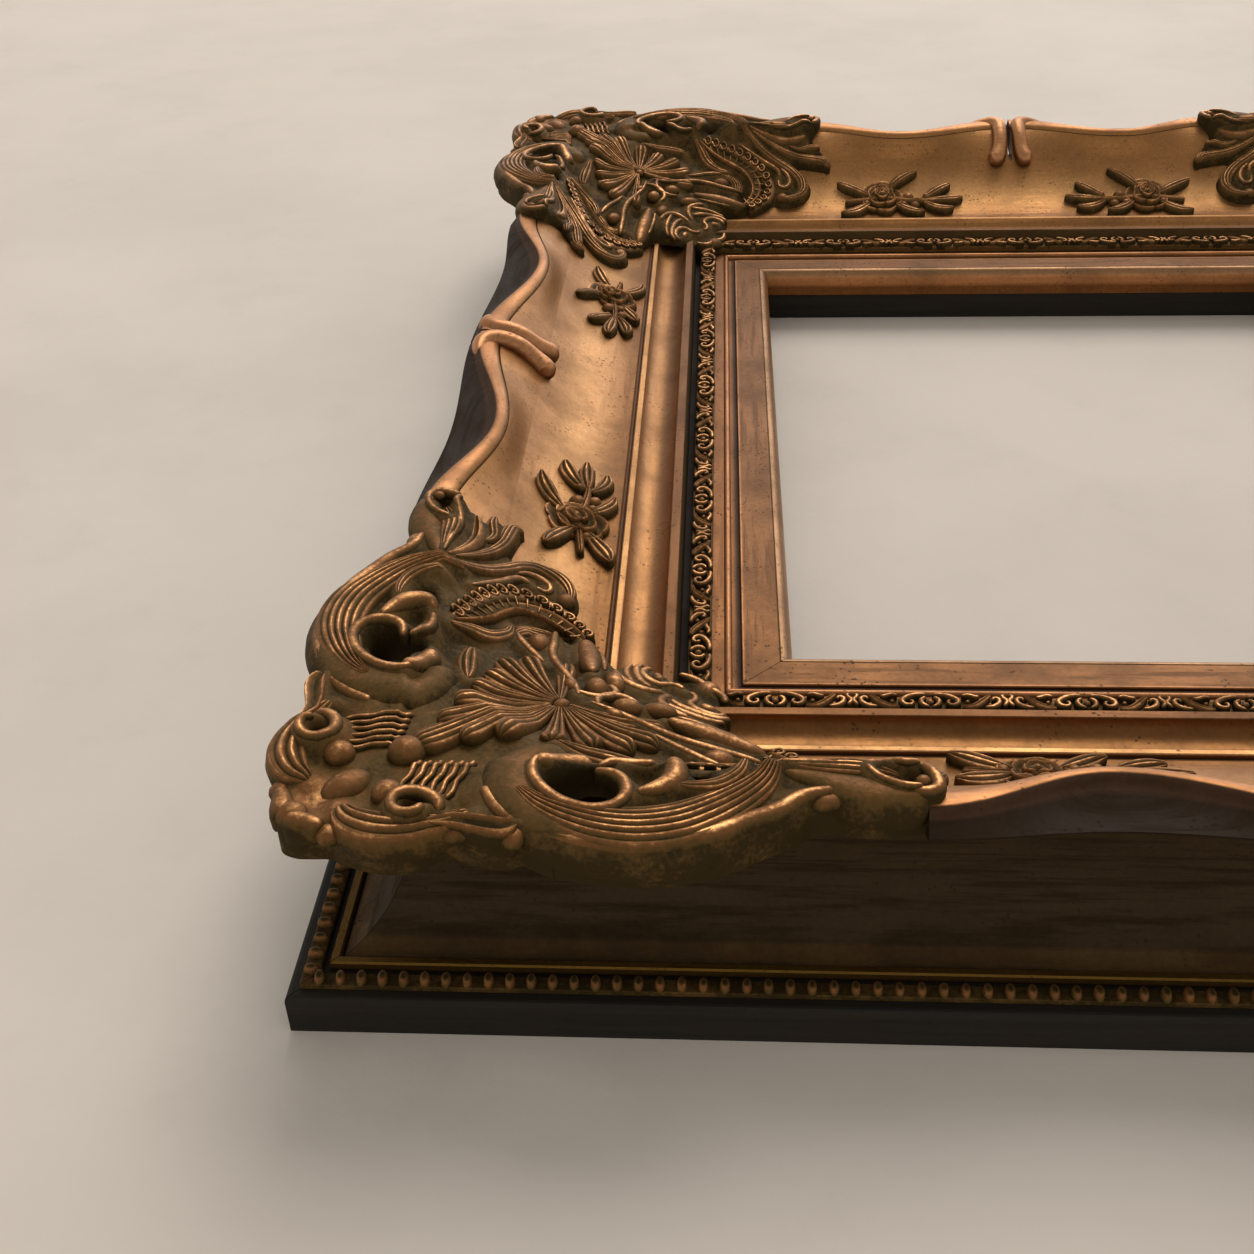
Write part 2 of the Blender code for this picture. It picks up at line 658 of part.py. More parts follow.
def blanket_section():
    """Section of the ornament's ground, which follows the moulding and then overhangs it."""
    top = [(out * CARVING_UNIT, height * CARVING_UNIT) for out, height in BLANKET]
    return [(top[0][0], CARTOUCHE_FLOOR), *top, (top[-1][0], CARTOUCHE_FLOOR)]


def shell_pieces():
    """Fan of ribs that opens outwards along the mitre, with the solid ground under it."""
    focus = Vector((SHELL_FOCUS, 0.0, SHELL_FOCUS_HEIGHT))
    tips, meshes = [], []
    for index in range(SHELL_RIBS):
        angle = SHELL_SPREAD * (2.0 * index / (SHELL_RIBS - 1) - 1.0)
        length = SHELL_SIDE + (SHELL_LONG - SHELL_SIDE) * math.cos(angle / 2.0) ** 6
        tip = focus + Vector((length * math.cos(angle), length * math.sin(angle),
                              SHELL_RISE))
        tips.append(tip)
        width = length * SHELL_SPREAD / (SHELL_RIBS - 1) * 1.05
        meshes.append(tube_mesh(f"rib_{index}", [(*focus, 1.6 * CARVING_UNIT),
                                                 (*tip, width * 0.95)]))
    ground = [(tip.x, tip.y) for tip in tips] + [(focus.x - 6.0 * CARVING_UNIT, 0.0)]
    fan = outline_mesh("fan", ground, SHELL_FOCUS_HEIGHT - CARTOUCHE_FLOOR)
    fan.transform(Matrix.Translation((0.0, 0.0, (SHELL_FOCUS_HEIGHT + CARTOUCHE_FLOOR) / 2.0)))
    return [fan, *meshes]


def flattened_tube(name, path, flatness=0.6):
    """Scroll through (along, across, crown height, radius) stations, pressed flat."""
    unit = CARVING_UNIT
    mesh = tube_mesh(name, [(a * unit, b * unit, (h / flatness - r) * unit, r * unit)
                            for a, b, h, r in path])
    mesh.transform(Matrix.Diagonal((1.0, 1.0, flatness, 1.0)))
    return mesh


SCROLL_PATHS = {
    "outer_scroll": ((120, 114, 103, 5), (146, 111, 106, 10), (168, 105, 106, 12),
                     (188, 90, 106, 13), (201, 68, 106, 13), (202, 46, 106, 12),
                     (188, 38, 106, 9), (173, 45, 107, 6)),
    "inner_scroll": ((79, 58, 59, 4), (82, 76, 64, 5), (92, 84, 71, 6), (114, 79, 80, 6),
                     (142, 68, 90, 4)),
    "upper_leaf": ((66, 86, 61, 4), (60, 98, 64, 5), (66, 109, 69, 5), (92, 104, 83, 5),
                   (118, 98, 96, 4)),
    "corner_volute": ((229, 42, 107, 4), (244, 36, 110, 6), (253, 24, 110, 6),
                      (254, 12, 107, 5)),
    "rail_leaf": ((91, 148, 106, 6), (104, 139, 106, 9), (116, 118, 105, 5)),
    "flame_leaf": ((61, 131, 78, 3), (78, 120, 83, 6), (106, 106, 93, 4)),
    "tip_leaf": ((74, 25, 56, 3), (86, 17, 60, 6), (104, 12, 71, 5)),
}
# Balls: along, across, crown height, radius
BALLS = (
    (108.0, 57.0, 76.0, 7.5), (87.0, 50.0, 62.0, 7.0), (114.0, 14.0, 77.0, 7.5),
    (235.4, 17.0, 104.0, 7.0))
# Beans on the mitre: along, crown height, and the three radii
BEANS = ((216.0, 109.0, (8.0, 8.0, 7.0)), (242.0, 105.0, (12.0, 8.0, 7.0)),
         (262.0, 104.0, (11.0, 16.0, 8.0)))
HOLE_CENTRE, HOLE_RADII = (180.0, 61.0), (11.0, 12.5)
SLOT_CENTRE, SLOT_RADII = (145.5, 83.0), (3.6, 5.6)
HOLE_SIDES, SLOT_SIDES = 9, 5


def cartouche_mesh():
    """One pierced corner ornament, drawn with X out along the mitre."""
    half = half_outline()
    outline = half + list(reversed(mirrored(half[1:-1])))
    holes = []
    for centre, radii, sides in ((HOLE_CENTRE, HOLE_RADII, HOLE_SIDES),
                                 (SLOT_CENTRE, SLOT_RADII, SLOT_SIDES)):
        loop = [(a * CARVING_UNIT, b * CARVING_UNIT)
                for a, b in round_loop(centre, radii, sides)]
        holes += [loop, mirrored(loop)]
    plate = outline_mesh("plate", outline, 2.0 * RAIL_OUT, holes)
    ground = corner_sweep("ground", blanket_section())
    pieces = [intersected_mesh("ground", ground, plate), *shell_pieces()]
    for name, path in SCROLL_PATHS.items():
        for side, stations in (("left", path), ("right", mirrored(path))):
            pieces.append(flattened_tube(f"{name}_{side}", stations))
    for index, (along, across, crown, radius) in enumerate(BALLS):
        for sign in (1.0, -1.0):
            centre = Vector((along, sign * across, crown - radius * 0.8)) * CARVING_UNIT
            pieces.append(ball_mesh(f"ball_{index}", centre,
                                    Vector((radius, radius, radius * 0.8)) * CARVING_UNIT))
    for index, (along, crown, radii) in enumerate(BEANS):
        centre = Vector((along, 0.0, crown - radii[2])) * CARVING_UNIT
        pieces.append(ball_mesh(f"bean_{index}", centre, Vector(radii) * CARVING_UNIT))
    seat = corner_sweep("seat", seat_section())
    return largest_body(fused_mesh("corner_cartouche", pieces, seat), "corner_cartouche")


def make_cartouches(parts, material):
    """Turn the same ornament to each corner."""
    mesh = cartouche_mesh()
    for corner, ((x, y), turn) in CORNERS.items():
        cartouche = make_object(f"cartouche_{corner}", mesh, parts, material)
        cartouche.location = (x, y, 0.0)
        cartouche.rotation_euler = (0.0, 0.0, math.radians(turn))


def key_outline(clearance=0.0):
    """Bow tie across the mitre, grown by a clearance."""
    end, waist = KEY_END / 2.0 + clearance, KEY_WAIST / 2.0 + clearance
    reach = KEY_LENGTH / 2.0 + clearance
    return [(end, -reach), (waist, 0.0), (end, reach), (-end, reach), (-waist, 0.0),
            (-end, -reach)]


def key_mesh(name, low, high, clearance=0.0):
    """Bow tie between two heights, with X out along the mitre."""
    mesh = outline_mesh(name, key_outline(clearance), high - low)
    mesh.transform(Matrix.Translation((KEY_PLACE, 0.0, (high + low) / 2.0)))
    return mesh


def make_keys(parts, cutters, material):
    """Let a key into the back across every mitre, and return the tools for the slots."""
    slots = {}
    for corner, ((x, y), turn) in CORNERS.items():
        key = make_object(f"mitre_key_{corner}", key_mesh("mitre_key", 0.0, KEY_DEPTH - GAP),
                          parts, material)
        slot = make_object(f"key_slot_{corner}", key_mesh("key_slot", -1.0 * MM, KEY_DEPTH, GAP),
                           cutters)
        for obj in (key, slot):
            obj.location = (x, y, 0.0)
            obj.rotation_euler = (0.0, 0.0, math.radians(turn))
        slots[corner] = slot
    return slots


def strap_mesh():
    """Steel strap with a rolled knuckle for the ring, drawn from the ring's axis along -Y."""
    top = POCKET_DEPTH - GAP
    centre = (0.0, RING_AXIS_HEIGHT)
    meeting = math.degrees(math.asin((KNUCKLE_RADIUS - STRAP_THICKNESS) / KNUCKLE_RADIUS))
    outline = [(-STRAP_LENGTH, top), *arc(centre, (KNUCKLE_RADIUS,) * 2, 90.0,
                                          -180.0 - meeting, 14),
               (-STRAP_LENGTH, top - STRAP_THICKNESS)]
    bore = round_loop(centre, (KNUCKLE_BORE,) * 2, BORE_SIDES)
    strap = outline_mesh("strap", outline, STRAP_WIDTH, [bore])
    strap.transform(Matrix(((0, 0, 1, 0), (1, 0, 0, 0), (0, 1, 0, 0), (0, 0, 0, 1))))
    return strap


def screw_tool(name, radius, low, high, place):
    """Plain cylinder at a screw's place, for the holes."""
    tool = turned_mesh(name, [(0.0, low), (radius, low), (radius, high), (0.0, high)])
    tool.transform(Matrix.Translation((0.0, -place, 0.0)))
    return tool


def ring_mesh():
    """D ring lying flat, its bar on X."""
    half, reach = RING_HALF_WIDTH, RING_REACH
    turn = 2.5 * MM
    bow = arc((0.0, reach - half), (half, half), 0.0, 180.0, 10)
    centre_line = [(half - turn, 0.0), (half - 0.6 * MM, 0.7 * MM), (half, turn), *bow,
                   (-half, turn), (-half + 0.6 * MM, 0.7 * MM), (turn - half, 0.0)]
    stations = [(x, y, 0.0, WIRE_RADIUS) for x, y in centre_line]
    return tube_mesh("ring", stations, 1, cyclic=True)


def make_hangers(parts, cutters, material):
    """Sink a strap, its ring and its screws in the back of each long rail."""
    tools = {}
    head_top = POCKET_DEPTH - GAP - STRAP_THICKNESS - GAP
    head_low = head_top - SCREW_HEAD_HEIGHT
    tip = head_top + SCREW_LENGTH
    screw_profile = [(0.0, head_low), (SCREW_HEAD_RADIUS, head_low), (SCREW_HEAD_RADIUS, head_top),
                     (SCREW_RADIUS, head_top), (SCREW_RADIUS, tip), (0.0, tip)]
    for side, sign in (("left", -1.0), ("right", 1.0)):
        place = Vector((sign * (SIGHT_WIDTH / 2.0 + HANGER_OUT), HANGER_Y, 0.0))
        holes = [screw_tool("hole", SCREW_RADIUS + GAP, 0.0, tip + GAP, where)
                 for where in SCREW_PLACES]
        pocket = box_mesh("pocket", (-POCKET_WIDTH / 2.0, -STRAP_LENGTH - POCKET_MARGIN, -1.0 * MM),
                          (POCKET_WIDTH / 2.0, RING_REACH + WIRE_RADIUS + POCKET_MARGIN,
                           POCKET_DEPTH))
        pocket_tool = make_object(f"hanger_pocket_{side}", fused_mesh("pocket", [pocket, *holes]),
                                  cutters)
        strap = make_object(f"hanger_strap_{side}", strap_mesh(), parts, material)
        hole_tools = []
        for index, where in enumerate(SCREW_PLACES):
            tool = make_object(f"strap_hole_{side}_{index}",
                               screw_tool("hole", SCREW_RADIUS + GAP, 0.0, BASE_HEIGHT, where),
                               cutters)
            tool.location = place
            hole_tools.append(tool)
        combine(strap, hole_tools, "DIFFERENCE", cutters)
        ring = make_object(f"hanger_ring_{side}", ring_mesh(), parts, material)
        ring.rotation_euler = (-RING_DROOP, 0.0, 0.0)
        for index, where in enumerate(SCREW_PLACES):
            screw = make_object(f"hanger_screw_{side}_{index + 1}",
                                turned_mesh("screw", screw_profile), parts, material)
            screw.location = place - Vector((0.0, where, 0.0))
        pocket_tool.location = strap.location = place
        ring.location = place + Vector((0.0, 0.0, RING_AXIS_HEIGHT))
        tools[side] = pocket_tool
    return tools


def cut_base_rails(rails, slots, pockets, cutters):
    """Cut the key slots and the hanger pockets out of the base boards."""
    ends = {"near": ("near_left", "near_right"), "right": ("near_right", "far_right"),
            "far": ("far_right", "far_left"), "left": ("far_left", "near_left")}
    for side, corners in ends.items():
        tools = [slots[corner] for corner in corners]
        if side in pockets:
            tools.append(pockets[side])
        combine(rails[f"base_rail_{side}"], tools, "DIFFERENCE", cutters)


def main():
    """Build the whole frame."""
    clear_scene()
    parts = make_collection("picture_frame")
    cutters = make_collection("cutters")
    materials = {
        "dark_wood": make_material("dark_wood", (0.045, 0.030, 0.022), 0.55, 0.0),
        "gilding": make_material("gilding", (0.42, 0.25, 0.09), 0.42, 0.75),
        "bronze_gilding": make_material("bronze_gilding", (0.24, 0.12, 0.055), 0.38, 0.7),
        "key_wood": make_material("key_wood", (0.30, 0.19, 0.10), 0.65, 0.0),
        "steel": make_material("steel", (0.48, 0.46, 0.43), 0.35, 1.0),
    }
    rails = make_rails(parts, materials)
    make_crests(parts, materials["bronze_gilding"])
    make_cartouches(parts, materials["bronze_gilding"])
    make_sprigs(parts, materials["bronze_gilding"])
    slots = make_keys(parts, cutters, materials["key_wood"])
    pockets = make_hangers(parts, cutters, materials["steel"])
    cut_base_rails(rails, slots, pockets, cutters)


if __name__ == "__main__":
    main()
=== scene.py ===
import logging
import math
from dataclasses import dataclass
from enum import Enum
from typing import Callable, Iterable, Sequence

import bmesh
import bpy
import numpy as np
from mathutils import Matrix, Vector


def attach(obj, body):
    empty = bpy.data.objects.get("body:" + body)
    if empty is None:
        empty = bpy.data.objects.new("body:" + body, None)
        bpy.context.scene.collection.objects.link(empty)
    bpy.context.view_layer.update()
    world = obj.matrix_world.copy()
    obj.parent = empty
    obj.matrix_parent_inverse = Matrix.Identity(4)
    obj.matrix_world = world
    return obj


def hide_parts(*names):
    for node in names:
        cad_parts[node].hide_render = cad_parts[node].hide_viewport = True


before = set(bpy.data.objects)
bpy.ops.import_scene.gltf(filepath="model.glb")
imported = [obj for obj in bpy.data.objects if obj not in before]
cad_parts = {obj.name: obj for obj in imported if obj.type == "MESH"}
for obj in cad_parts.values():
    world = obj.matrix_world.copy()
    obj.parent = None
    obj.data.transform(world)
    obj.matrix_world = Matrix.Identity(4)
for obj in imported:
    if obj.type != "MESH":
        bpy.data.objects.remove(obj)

# Lengths are in mm until a piece is put in its place, in metres
MM = 0.001
GAP = 0.3
TINY = 1e-9
SIGHT_WIDTH, SIGHT_LENGTH = 394.0, 495.6
SEED = 11
CURVE_STEPS = 12
BALL_ROWS, BALL_COLUMNS = 9, 14
RAIL_STATIONS, CREST_STATIONS = 13, 57
# Least half width of a stroke, and its greatest height as a share of its half width
LEAST_HALF, CROWN_SHARE = 0.3, 1.15
UPWARD = np.array([0.0, 0.0, 1.0])

Colour = tuple[float, float, float, float]
Section = list[tuple[float, float, Colour]]

logging.basicConfig(level=logging.INFO, format="%(message)s")
log = logging.getLogger("frame")


def screen(red: float, green: float, blue: float) -> Colour:
    """Turn a colour as seen on screen, 0 to 255, into the linear one a shader takes.

    Args:
        red, green, blue: the three channels.

    Returns:
        Linear red, green and blue, with alpha 1.
    """
    def linear(value: float) -> float:
        """One channel."""
        share = value / 255.0
        return share / 12.92 if share <= 0.04045 else ((share + 0.055) / 1.055) ** 2.4
    return (linear(red), linear(green), linear(blue), 1.0)


class Place(Enum):
    """A place on the frame: its values end in x and y in mm and a turn in degrees."""

    @property
    def label(self) -> str:
        """Name used in the nodes."""
        return self.name.lower()

    @property
    def place(self) -> Matrix:
        """Matrix from a piece drawn in mm to this place in metres."""
        x, y, turn = self.value[-3:]
        return (Matrix.Translation((x * MM, y * MM, 0.0))
                @ Matrix.Rotation(math.radians(turn), 4, "Z") @ Matrix.Scale(MM, 4))


class Side(Place):
    """The four sides: length in mm, the sight edge's middle, and the turn from the near side."""

    NEAR = (SIGHT_WIDTH, 0.0, -SIGHT_LENGTH / 2.0, 0.0)
    RIGHT = (SIGHT_LENGTH, SIGHT_WIDTH / 2.0, 0.0, 90.0)
    FAR = (SIGHT_WIDTH, 0.0, SIGHT_LENGTH / 2.0, 180.0)
    LEFT = (SIGHT_LENGTH, -SIGHT_WIDTH / 2.0, 0.0, 270.0)

    @property
    def length(self) -> float:
        """Length of the sight edge in mm."""
        return self.value[0]


class Corner(Place):
    """The four corners: sight corner in mm and the turn of the outward mitre."""

    NEAR_LEFT = (-SIGHT_WIDTH / 2.0, -SIGHT_LENGTH / 2.0, 225.0)
    NEAR_RIGHT = (SIGHT_WIDTH / 2.0, -SIGHT_LENGTH / 2.0, 315.0)
    FAR_RIGHT = (SIGHT_WIDTH / 2.0, SIGHT_LENGTH / 2.0, 45.0)
    FAR_LEFT = (-SIGHT_WIDTH / 2.0, SIGHT_LENGTH / 2.0, 135.0)


class Relief(Enum):
    """Ways to round a carved stroke across its width."""

    ROUND = "round"
    FOLDED = "folded"
    HOLLOW = "hollow"
    LEAF = "leaf"


# Shader groups and finishes


class Sheet:
    """Lays out a node tree from left to right."""

    def __init__(self, tree: bpy.types.NodeTree) -> None:
        """Start on an empty tree."""
        self.tree = tree
        tree.nodes.clear()

    def node(self, kind: str, sockets: dict | None = None, **settings: object) -> bpy.types.Node:
        """Add a node, set its properties, and set or link its inputs.

        Args:
            kind: Blender's node type.
            sockets: input name or index, with a value or the socket that feeds it.
            settings: properties of the node.

        Returns:
            The new node.
        """
        node = self.tree.nodes.new(kind)
        for name, value in settings.items():
            setattr(node, name, value)
        for key, value in (sockets or {}).items():
            if isinstance(value, bpy.types.NodeSocket):
                self.tree.links.new(value, node.inputs[key])
            else:
                node.inputs[key].default_value = value
        return node

    def math(self, operation: str, *values: object) -> bpy.types.NodeSocket:
        """Add a Math node and give its result."""
        node = self.node("ShaderNodeMath", dict(enumerate(values)), operation=operation)
        return node.outputs[0]

    def noise(self, place: bpy.types.NodeSocket, scale: float, detail: float = 3.0,
              roughness: float = 0.55) -> bpy.types.NodeSocket:
        """Add a noise texture and give its value."""
        node = self.node("ShaderNodeTexNoise", {"Vector": place, "Scale": scale,
                                                "Detail": detail, "Roughness": roughness})
        return node.outputs["Fac"]

    def between(self, value: object, low: float, high: float) -> bpy.types.NodeSocket:
        """Bring a value from low..high to 0..1, eased."""
        node = self.node("ShaderNodeMapRange", {"Value": value, "From Min": low,
                                                "From Max": high},
                         interpolation_type="SMOOTHSTEP")
        return node.outputs["Result"]

    def blend(self, share: object, first: object, second: object) -> bpy.types.NodeSocket:
        """Mix two colours."""
        node = self.node("ShaderNodeMix", {0: share, 6: first, 7: second}, data_type="RGBA")
        return node.outputs[2]

    def surface(self, sockets: dict, height: bpy.types.NodeSocket, strength: float,
                distance: float) -> None:
        """End the tree in a bumped surface.

        Args:
            sockets: inputs of the surface shader.
            height: relief of the bump.
            strength, distance: how strong and how high the bump is.
        """
        bump = self.node("ShaderNodeBump", {"Height": height, "Strength": strength,
                                            "Distance": distance})
        shader = self.node("ShaderNodeBsdfPrincipled",
                           {**sockets, "Normal": bump.outputs["Normal"]})
        self.node("ShaderNodeOutputMaterial", {"Surface": shader.outputs[0]})


FLOAT, VECTOR, COLOUR = "NodeSocketFloat", "NodeSocketVector", "NodeSocketColor"
INTEGER, OBJECT = "NodeSocketInt", "NodeSocketObject"
MATERIAL, GEOMETRY = "NodeSocketMaterial", "NodeSocketGeometry"


def group(name: str, inputs: dict[str, str], outputs: dict[str, str],
          kind: str = "ShaderNodeTree") -> tuple[bpy.types.NodeTree, Sheet, bpy.types.Node]:
    """Start a node group.

    Args:
        name: its name.
        inputs, outputs: socket names with their kinds.
        kind: whether it is for shaders or for geometry.

    Returns:
        The group, its sheet and its input node.
    """
    tree = bpy.data.node_groups.new(name, kind)
    for way, sockets in (("INPUT", inputs), ("OUTPUT", outputs)):
        for label, socket in sockets.items():
            tree.interface.new_socket(label, in_out=way, socket_type=socket)
    sheet = Sheet(tree)
    return tree, sheet, sheet.node("NodeGroupInput")


def patina_group() -> bpy.types.NodeTree:
    """Clouds of grime, dark specks and rubbed streaks over a finish.

    Returns:
        Group with the aged colour, a mask of bare gloss and a height.
    """
    tree, sheet, start = group(
        "patina",
        {"Colour": COLOUR, "Place": VECTOR, "Along": VECTOR, "Cloud": FLOAT, "Speck": FLOAT,
         "Streak": FLOAT},
        {"Colour": COLOUR, "Dirt": FLOAT, "Height": FLOAT})
    place, along = start.outputs["Place"], start.outputs["Along"]
    cloud = sheet.between(sheet.noise(place, 22.0, 5.0, 0.62), 0.36, 0.70)
    fine = sheet.noise(place, 420.0, 2.0)
    dots = sheet.node("ShaderNodeTexVoronoi", {"Vector": place, "Scale": 330.0,
                                               "Randomness": 1.0})
    near = sheet.math("LESS_THAN", dots.outputs["Distance"], 0.24)
    patches = sheet.between(sheet.noise(place, 60.0, 3.0), 0.46, 0.62)
    specks = sheet.math("MULTIPLY", near, patches)
    rubbed = sheet.between(sheet.noise(along, 1.0, 6.0, 0.66), 0.42, 0.64)
    dirt = sheet.math("MULTIPLY", cloud, start.outputs["Cloud"])
    dirt = sheet.math("MAXIMUM", dirt, sheet.math("MULTIPLY", specks, start.outputs["Speck"]))
    dirt = sheet.math("MAXIMUM", dirt, sheet.math("MULTIPLY", rubbed, start.outputs["Streak"]))
    dark = sheet.blend(dirt, start.outputs["Colour"], screen(40, 28, 14))
    grain = sheet.math("MULTIPLY_ADD", fine, 0.5, 0.75)
    bright = sheet.node("ShaderNodeHueSaturation", {"Color": dark, "Value": grain,
                                                    "Saturation": 1.0})
    height = sheet.math("SUBTRACT", sheet.math("MULTIPLY", fine, 0.35), dirt)
    sheet.node("NodeGroupOutput", {"Colour": bright.outputs["Color"], "Dirt": dirt,
                                   "Height": height})
    return tree


def rubbing_group() -> bpy.types.NodeTree:
    """Recess, body and crest of a carving, told apart by its wear attribute, which holds real
    rubbing and dirt together with painted shade in the recesses and a painted highlight on the
    crests.

    Returns:
        Group with a share from 0 in the recesses, rubbing and painted shade, to 1 on the crests,
        rubbing and painted highlight.
    """
    tree, sheet, start = group(
        "rubbing", {"Place": VECTOR, "Wear": FLOAT, "Break": FLOAT},
        {"Worn": FLOAT, "Height": FLOAT})
    coarse = sheet.noise(start.outputs["Place"], 75.0, 4.0, 0.6)
    fine = sheet.noise(start.outputs["Place"], 520.0, 2.0)
    swing = sheet.math("ADD", sheet.math("SUBTRACT", coarse, 0.5),
                       sheet.math("MULTIPLY", sheet.math("SUBTRACT", fine, 0.5), 0.5))
    worn_and_lit = sheet.math("MULTIPLY_ADD", swing, start.outputs["Break"], start.outputs["Wear"])
    clamped = sheet.node("ShaderNodeClamp", {"Value": worn_and_lit})
    sheet.node("NodeGroupOutput", {"Worn": clamped.outputs[0], "Height": fine})
    return tree


class Shop:
    """Shader groups that the finishes share, each built once."""

    def __init__(self) -> None:
        """Build both groups."""
        self.patina = patina_group()
        self.rubbing = rubbing_group()


def new_material(name: str) -> tuple[bpy.types.Material, Sheet]:
    """Make an empty node material and its sheet."""
    material = bpy.data.materials.new(name)
    material.use_nodes = True
    return material, Sheet(material.node_tree)


@dataclass(frozen=True)
class CarvedFinish:
    """Bronzed carving: olive-black recesses, patina with painted shade, a brown body, and
    copper-gold crests, rubbed gilding with a painted highlight.
    """

    name: str
    recess: Colour
    shade: Colour
    body: Colour
    crest: Colour
    gloss: float = 0.42
    metal: float = 0.55

    def build(self, shop: Shop) -> bpy.types.Material:
        """Make the material from the shared groups."""
        material, sheet = new_material(self.name)
        place = sheet.node("ShaderNodeTexCoord").outputs["Object"]
        wear = sheet.node("ShaderNodeAttribute", attribute_name="wear")
        worn_and_lit = sheet.node("ShaderNodeGroup", {"Place": place, "Wear": wear.outputs["Fac"],
                                              "Break": 0.85}, node_tree=shop.rubbing)
        share = worn_and_lit.outputs["Worn"]
        # The recess and shade colours paint shade into the low values, and the crest colour paints
        # a highlight on the high ones, over the real rubbing and dirt.
        colour = sheet.blend(sheet.between(share, 0.02, 0.34), self.recess, self.shade)
        colour = sheet.blend(sheet.between(share, 0.30, 0.66), colour, self.body)
        colour = sheet.blend(sheet.between(share, 0.66, 1.0), colour, self.crest)
        rough = sheet.math("MULTIPLY_ADD", share, self.gloss - 0.74, 0.74)
        metal = sheet.math("MULTIPLY", share, self.metal)
        sheet.surface({"Base Color": colour, "Roughness": rough, "Metallic": metal,
                       "Specular IOR Level": 0.1}, worn_and_lit.outputs["Height"], 0.35, 0.0006)
        return material


@dataclass(frozen=True)
class GiltFinish:
    """Aged gilding on the mouldings, its colours brushed on along the section."""

    name: str
    cloud: float
    speck: float
    streak: float
    gloss: float = 0.38
    metal: float = 0.35

    def build(self, shop: Shop) -> bpy.types.Material:
        """Make the material from the shared groups."""
        material, sheet = new_material(self.name)
        place = sheet.node("ShaderNodeTexCoord").outputs["Object"]
        run = sheet.node("ShaderNodeUVMap", uv_map="run")
        along = sheet.node("ShaderNodeMapping", {"Vector": run.outputs["UV"],
                                                 "Scale": (14.0, 330.0, 1.0)})
        tint = sheet.node("ShaderNodeAttribute", attribute_name="tint")
        streak = sheet.math("MULTIPLY", tint.outputs["Alpha"], self.streak)
        aged = sheet.node("ShaderNodeGroup", {
            "Colour": tint.outputs["Color"], "Place": place, "Along": along.outputs["Vector"],
            "Cloud": self.cloud, "Speck": self.speck, "Streak": streak}, node_tree=shop.patina)
        paint = sheet.node("ShaderNodeSeparateColor", {"Color": tint.outputs["Color"]},
                           mode="HSV")
        bare = sheet.between(paint.outputs[2], 0.03, 0.16)
        rough = sheet.math("MULTIPLY_ADD", aged.outputs["Dirt"], 0.8 - self.gloss, self.gloss)
        rough = sheet.math("ADD", rough, sheet.math("MULTIPLY_ADD", bare, -0.25, 0.25))
        metal = sheet.math("MULTIPLY_ADD", aged.outputs["Dirt"], -self.metal, self.metal)
        metal = sheet.math("MULTIPLY", metal, bare)
        sheet.surface({"Base Color": aged.outputs["Colour"], "Roughness": rough,
                       "Metallic": metal, "Specular IOR Level": 0.12},
                      aged.outputs["Height"], 0.4, 0.0005)
        return material


@dataclass(frozen=True)
class PlainFinish:
    """Wood, steel or another plain stuff with grain drawn out along one direction."""

    name: str
    body: Colour
    grain: Colour
    stretch: tuple[float, float, float]
    roughness: float
    metal: float = 0.0
    relief: float = 0.3

    def build(self, shop: Shop) -> bpy.types.Material:
        """Make the material from the shared groups."""
        material, sheet = new_material(self.name)
        place = sheet.node("ShaderNodeTexCoord").outputs["Object"]
        drawn = sheet.node("ShaderNodeMapping", {"Vector": place, "Scale": self.stretch})
        grain = sheet.noise(drawn.outputs["Vector"], 1.0, 6.0, 0.62)
        colour = sheet.blend(sheet.between(grain, 0.38, 0.66), self.body, self.grain)
        aged = sheet.node("ShaderNodeGroup", {
            "Colour": colour, "Place": place, "Along": drawn.outputs["Vector"],
            "Cloud": 0.35, "Speck": 0.4, "Streak": 0.15}, node_tree=shop.patina)
        rough = sheet.math("MULTIPLY_ADD", aged.outputs["Dirt"], 0.2, self.roughness)
        sheet.surface({"Base Color": aged.outputs["Colour"], "Roughness": rough,
                       "Metallic": self.metal, "Specular IOR Level": 0.25},
                      grain, self.relief, 0.0006)
        return material


# Mesh drafts and carving


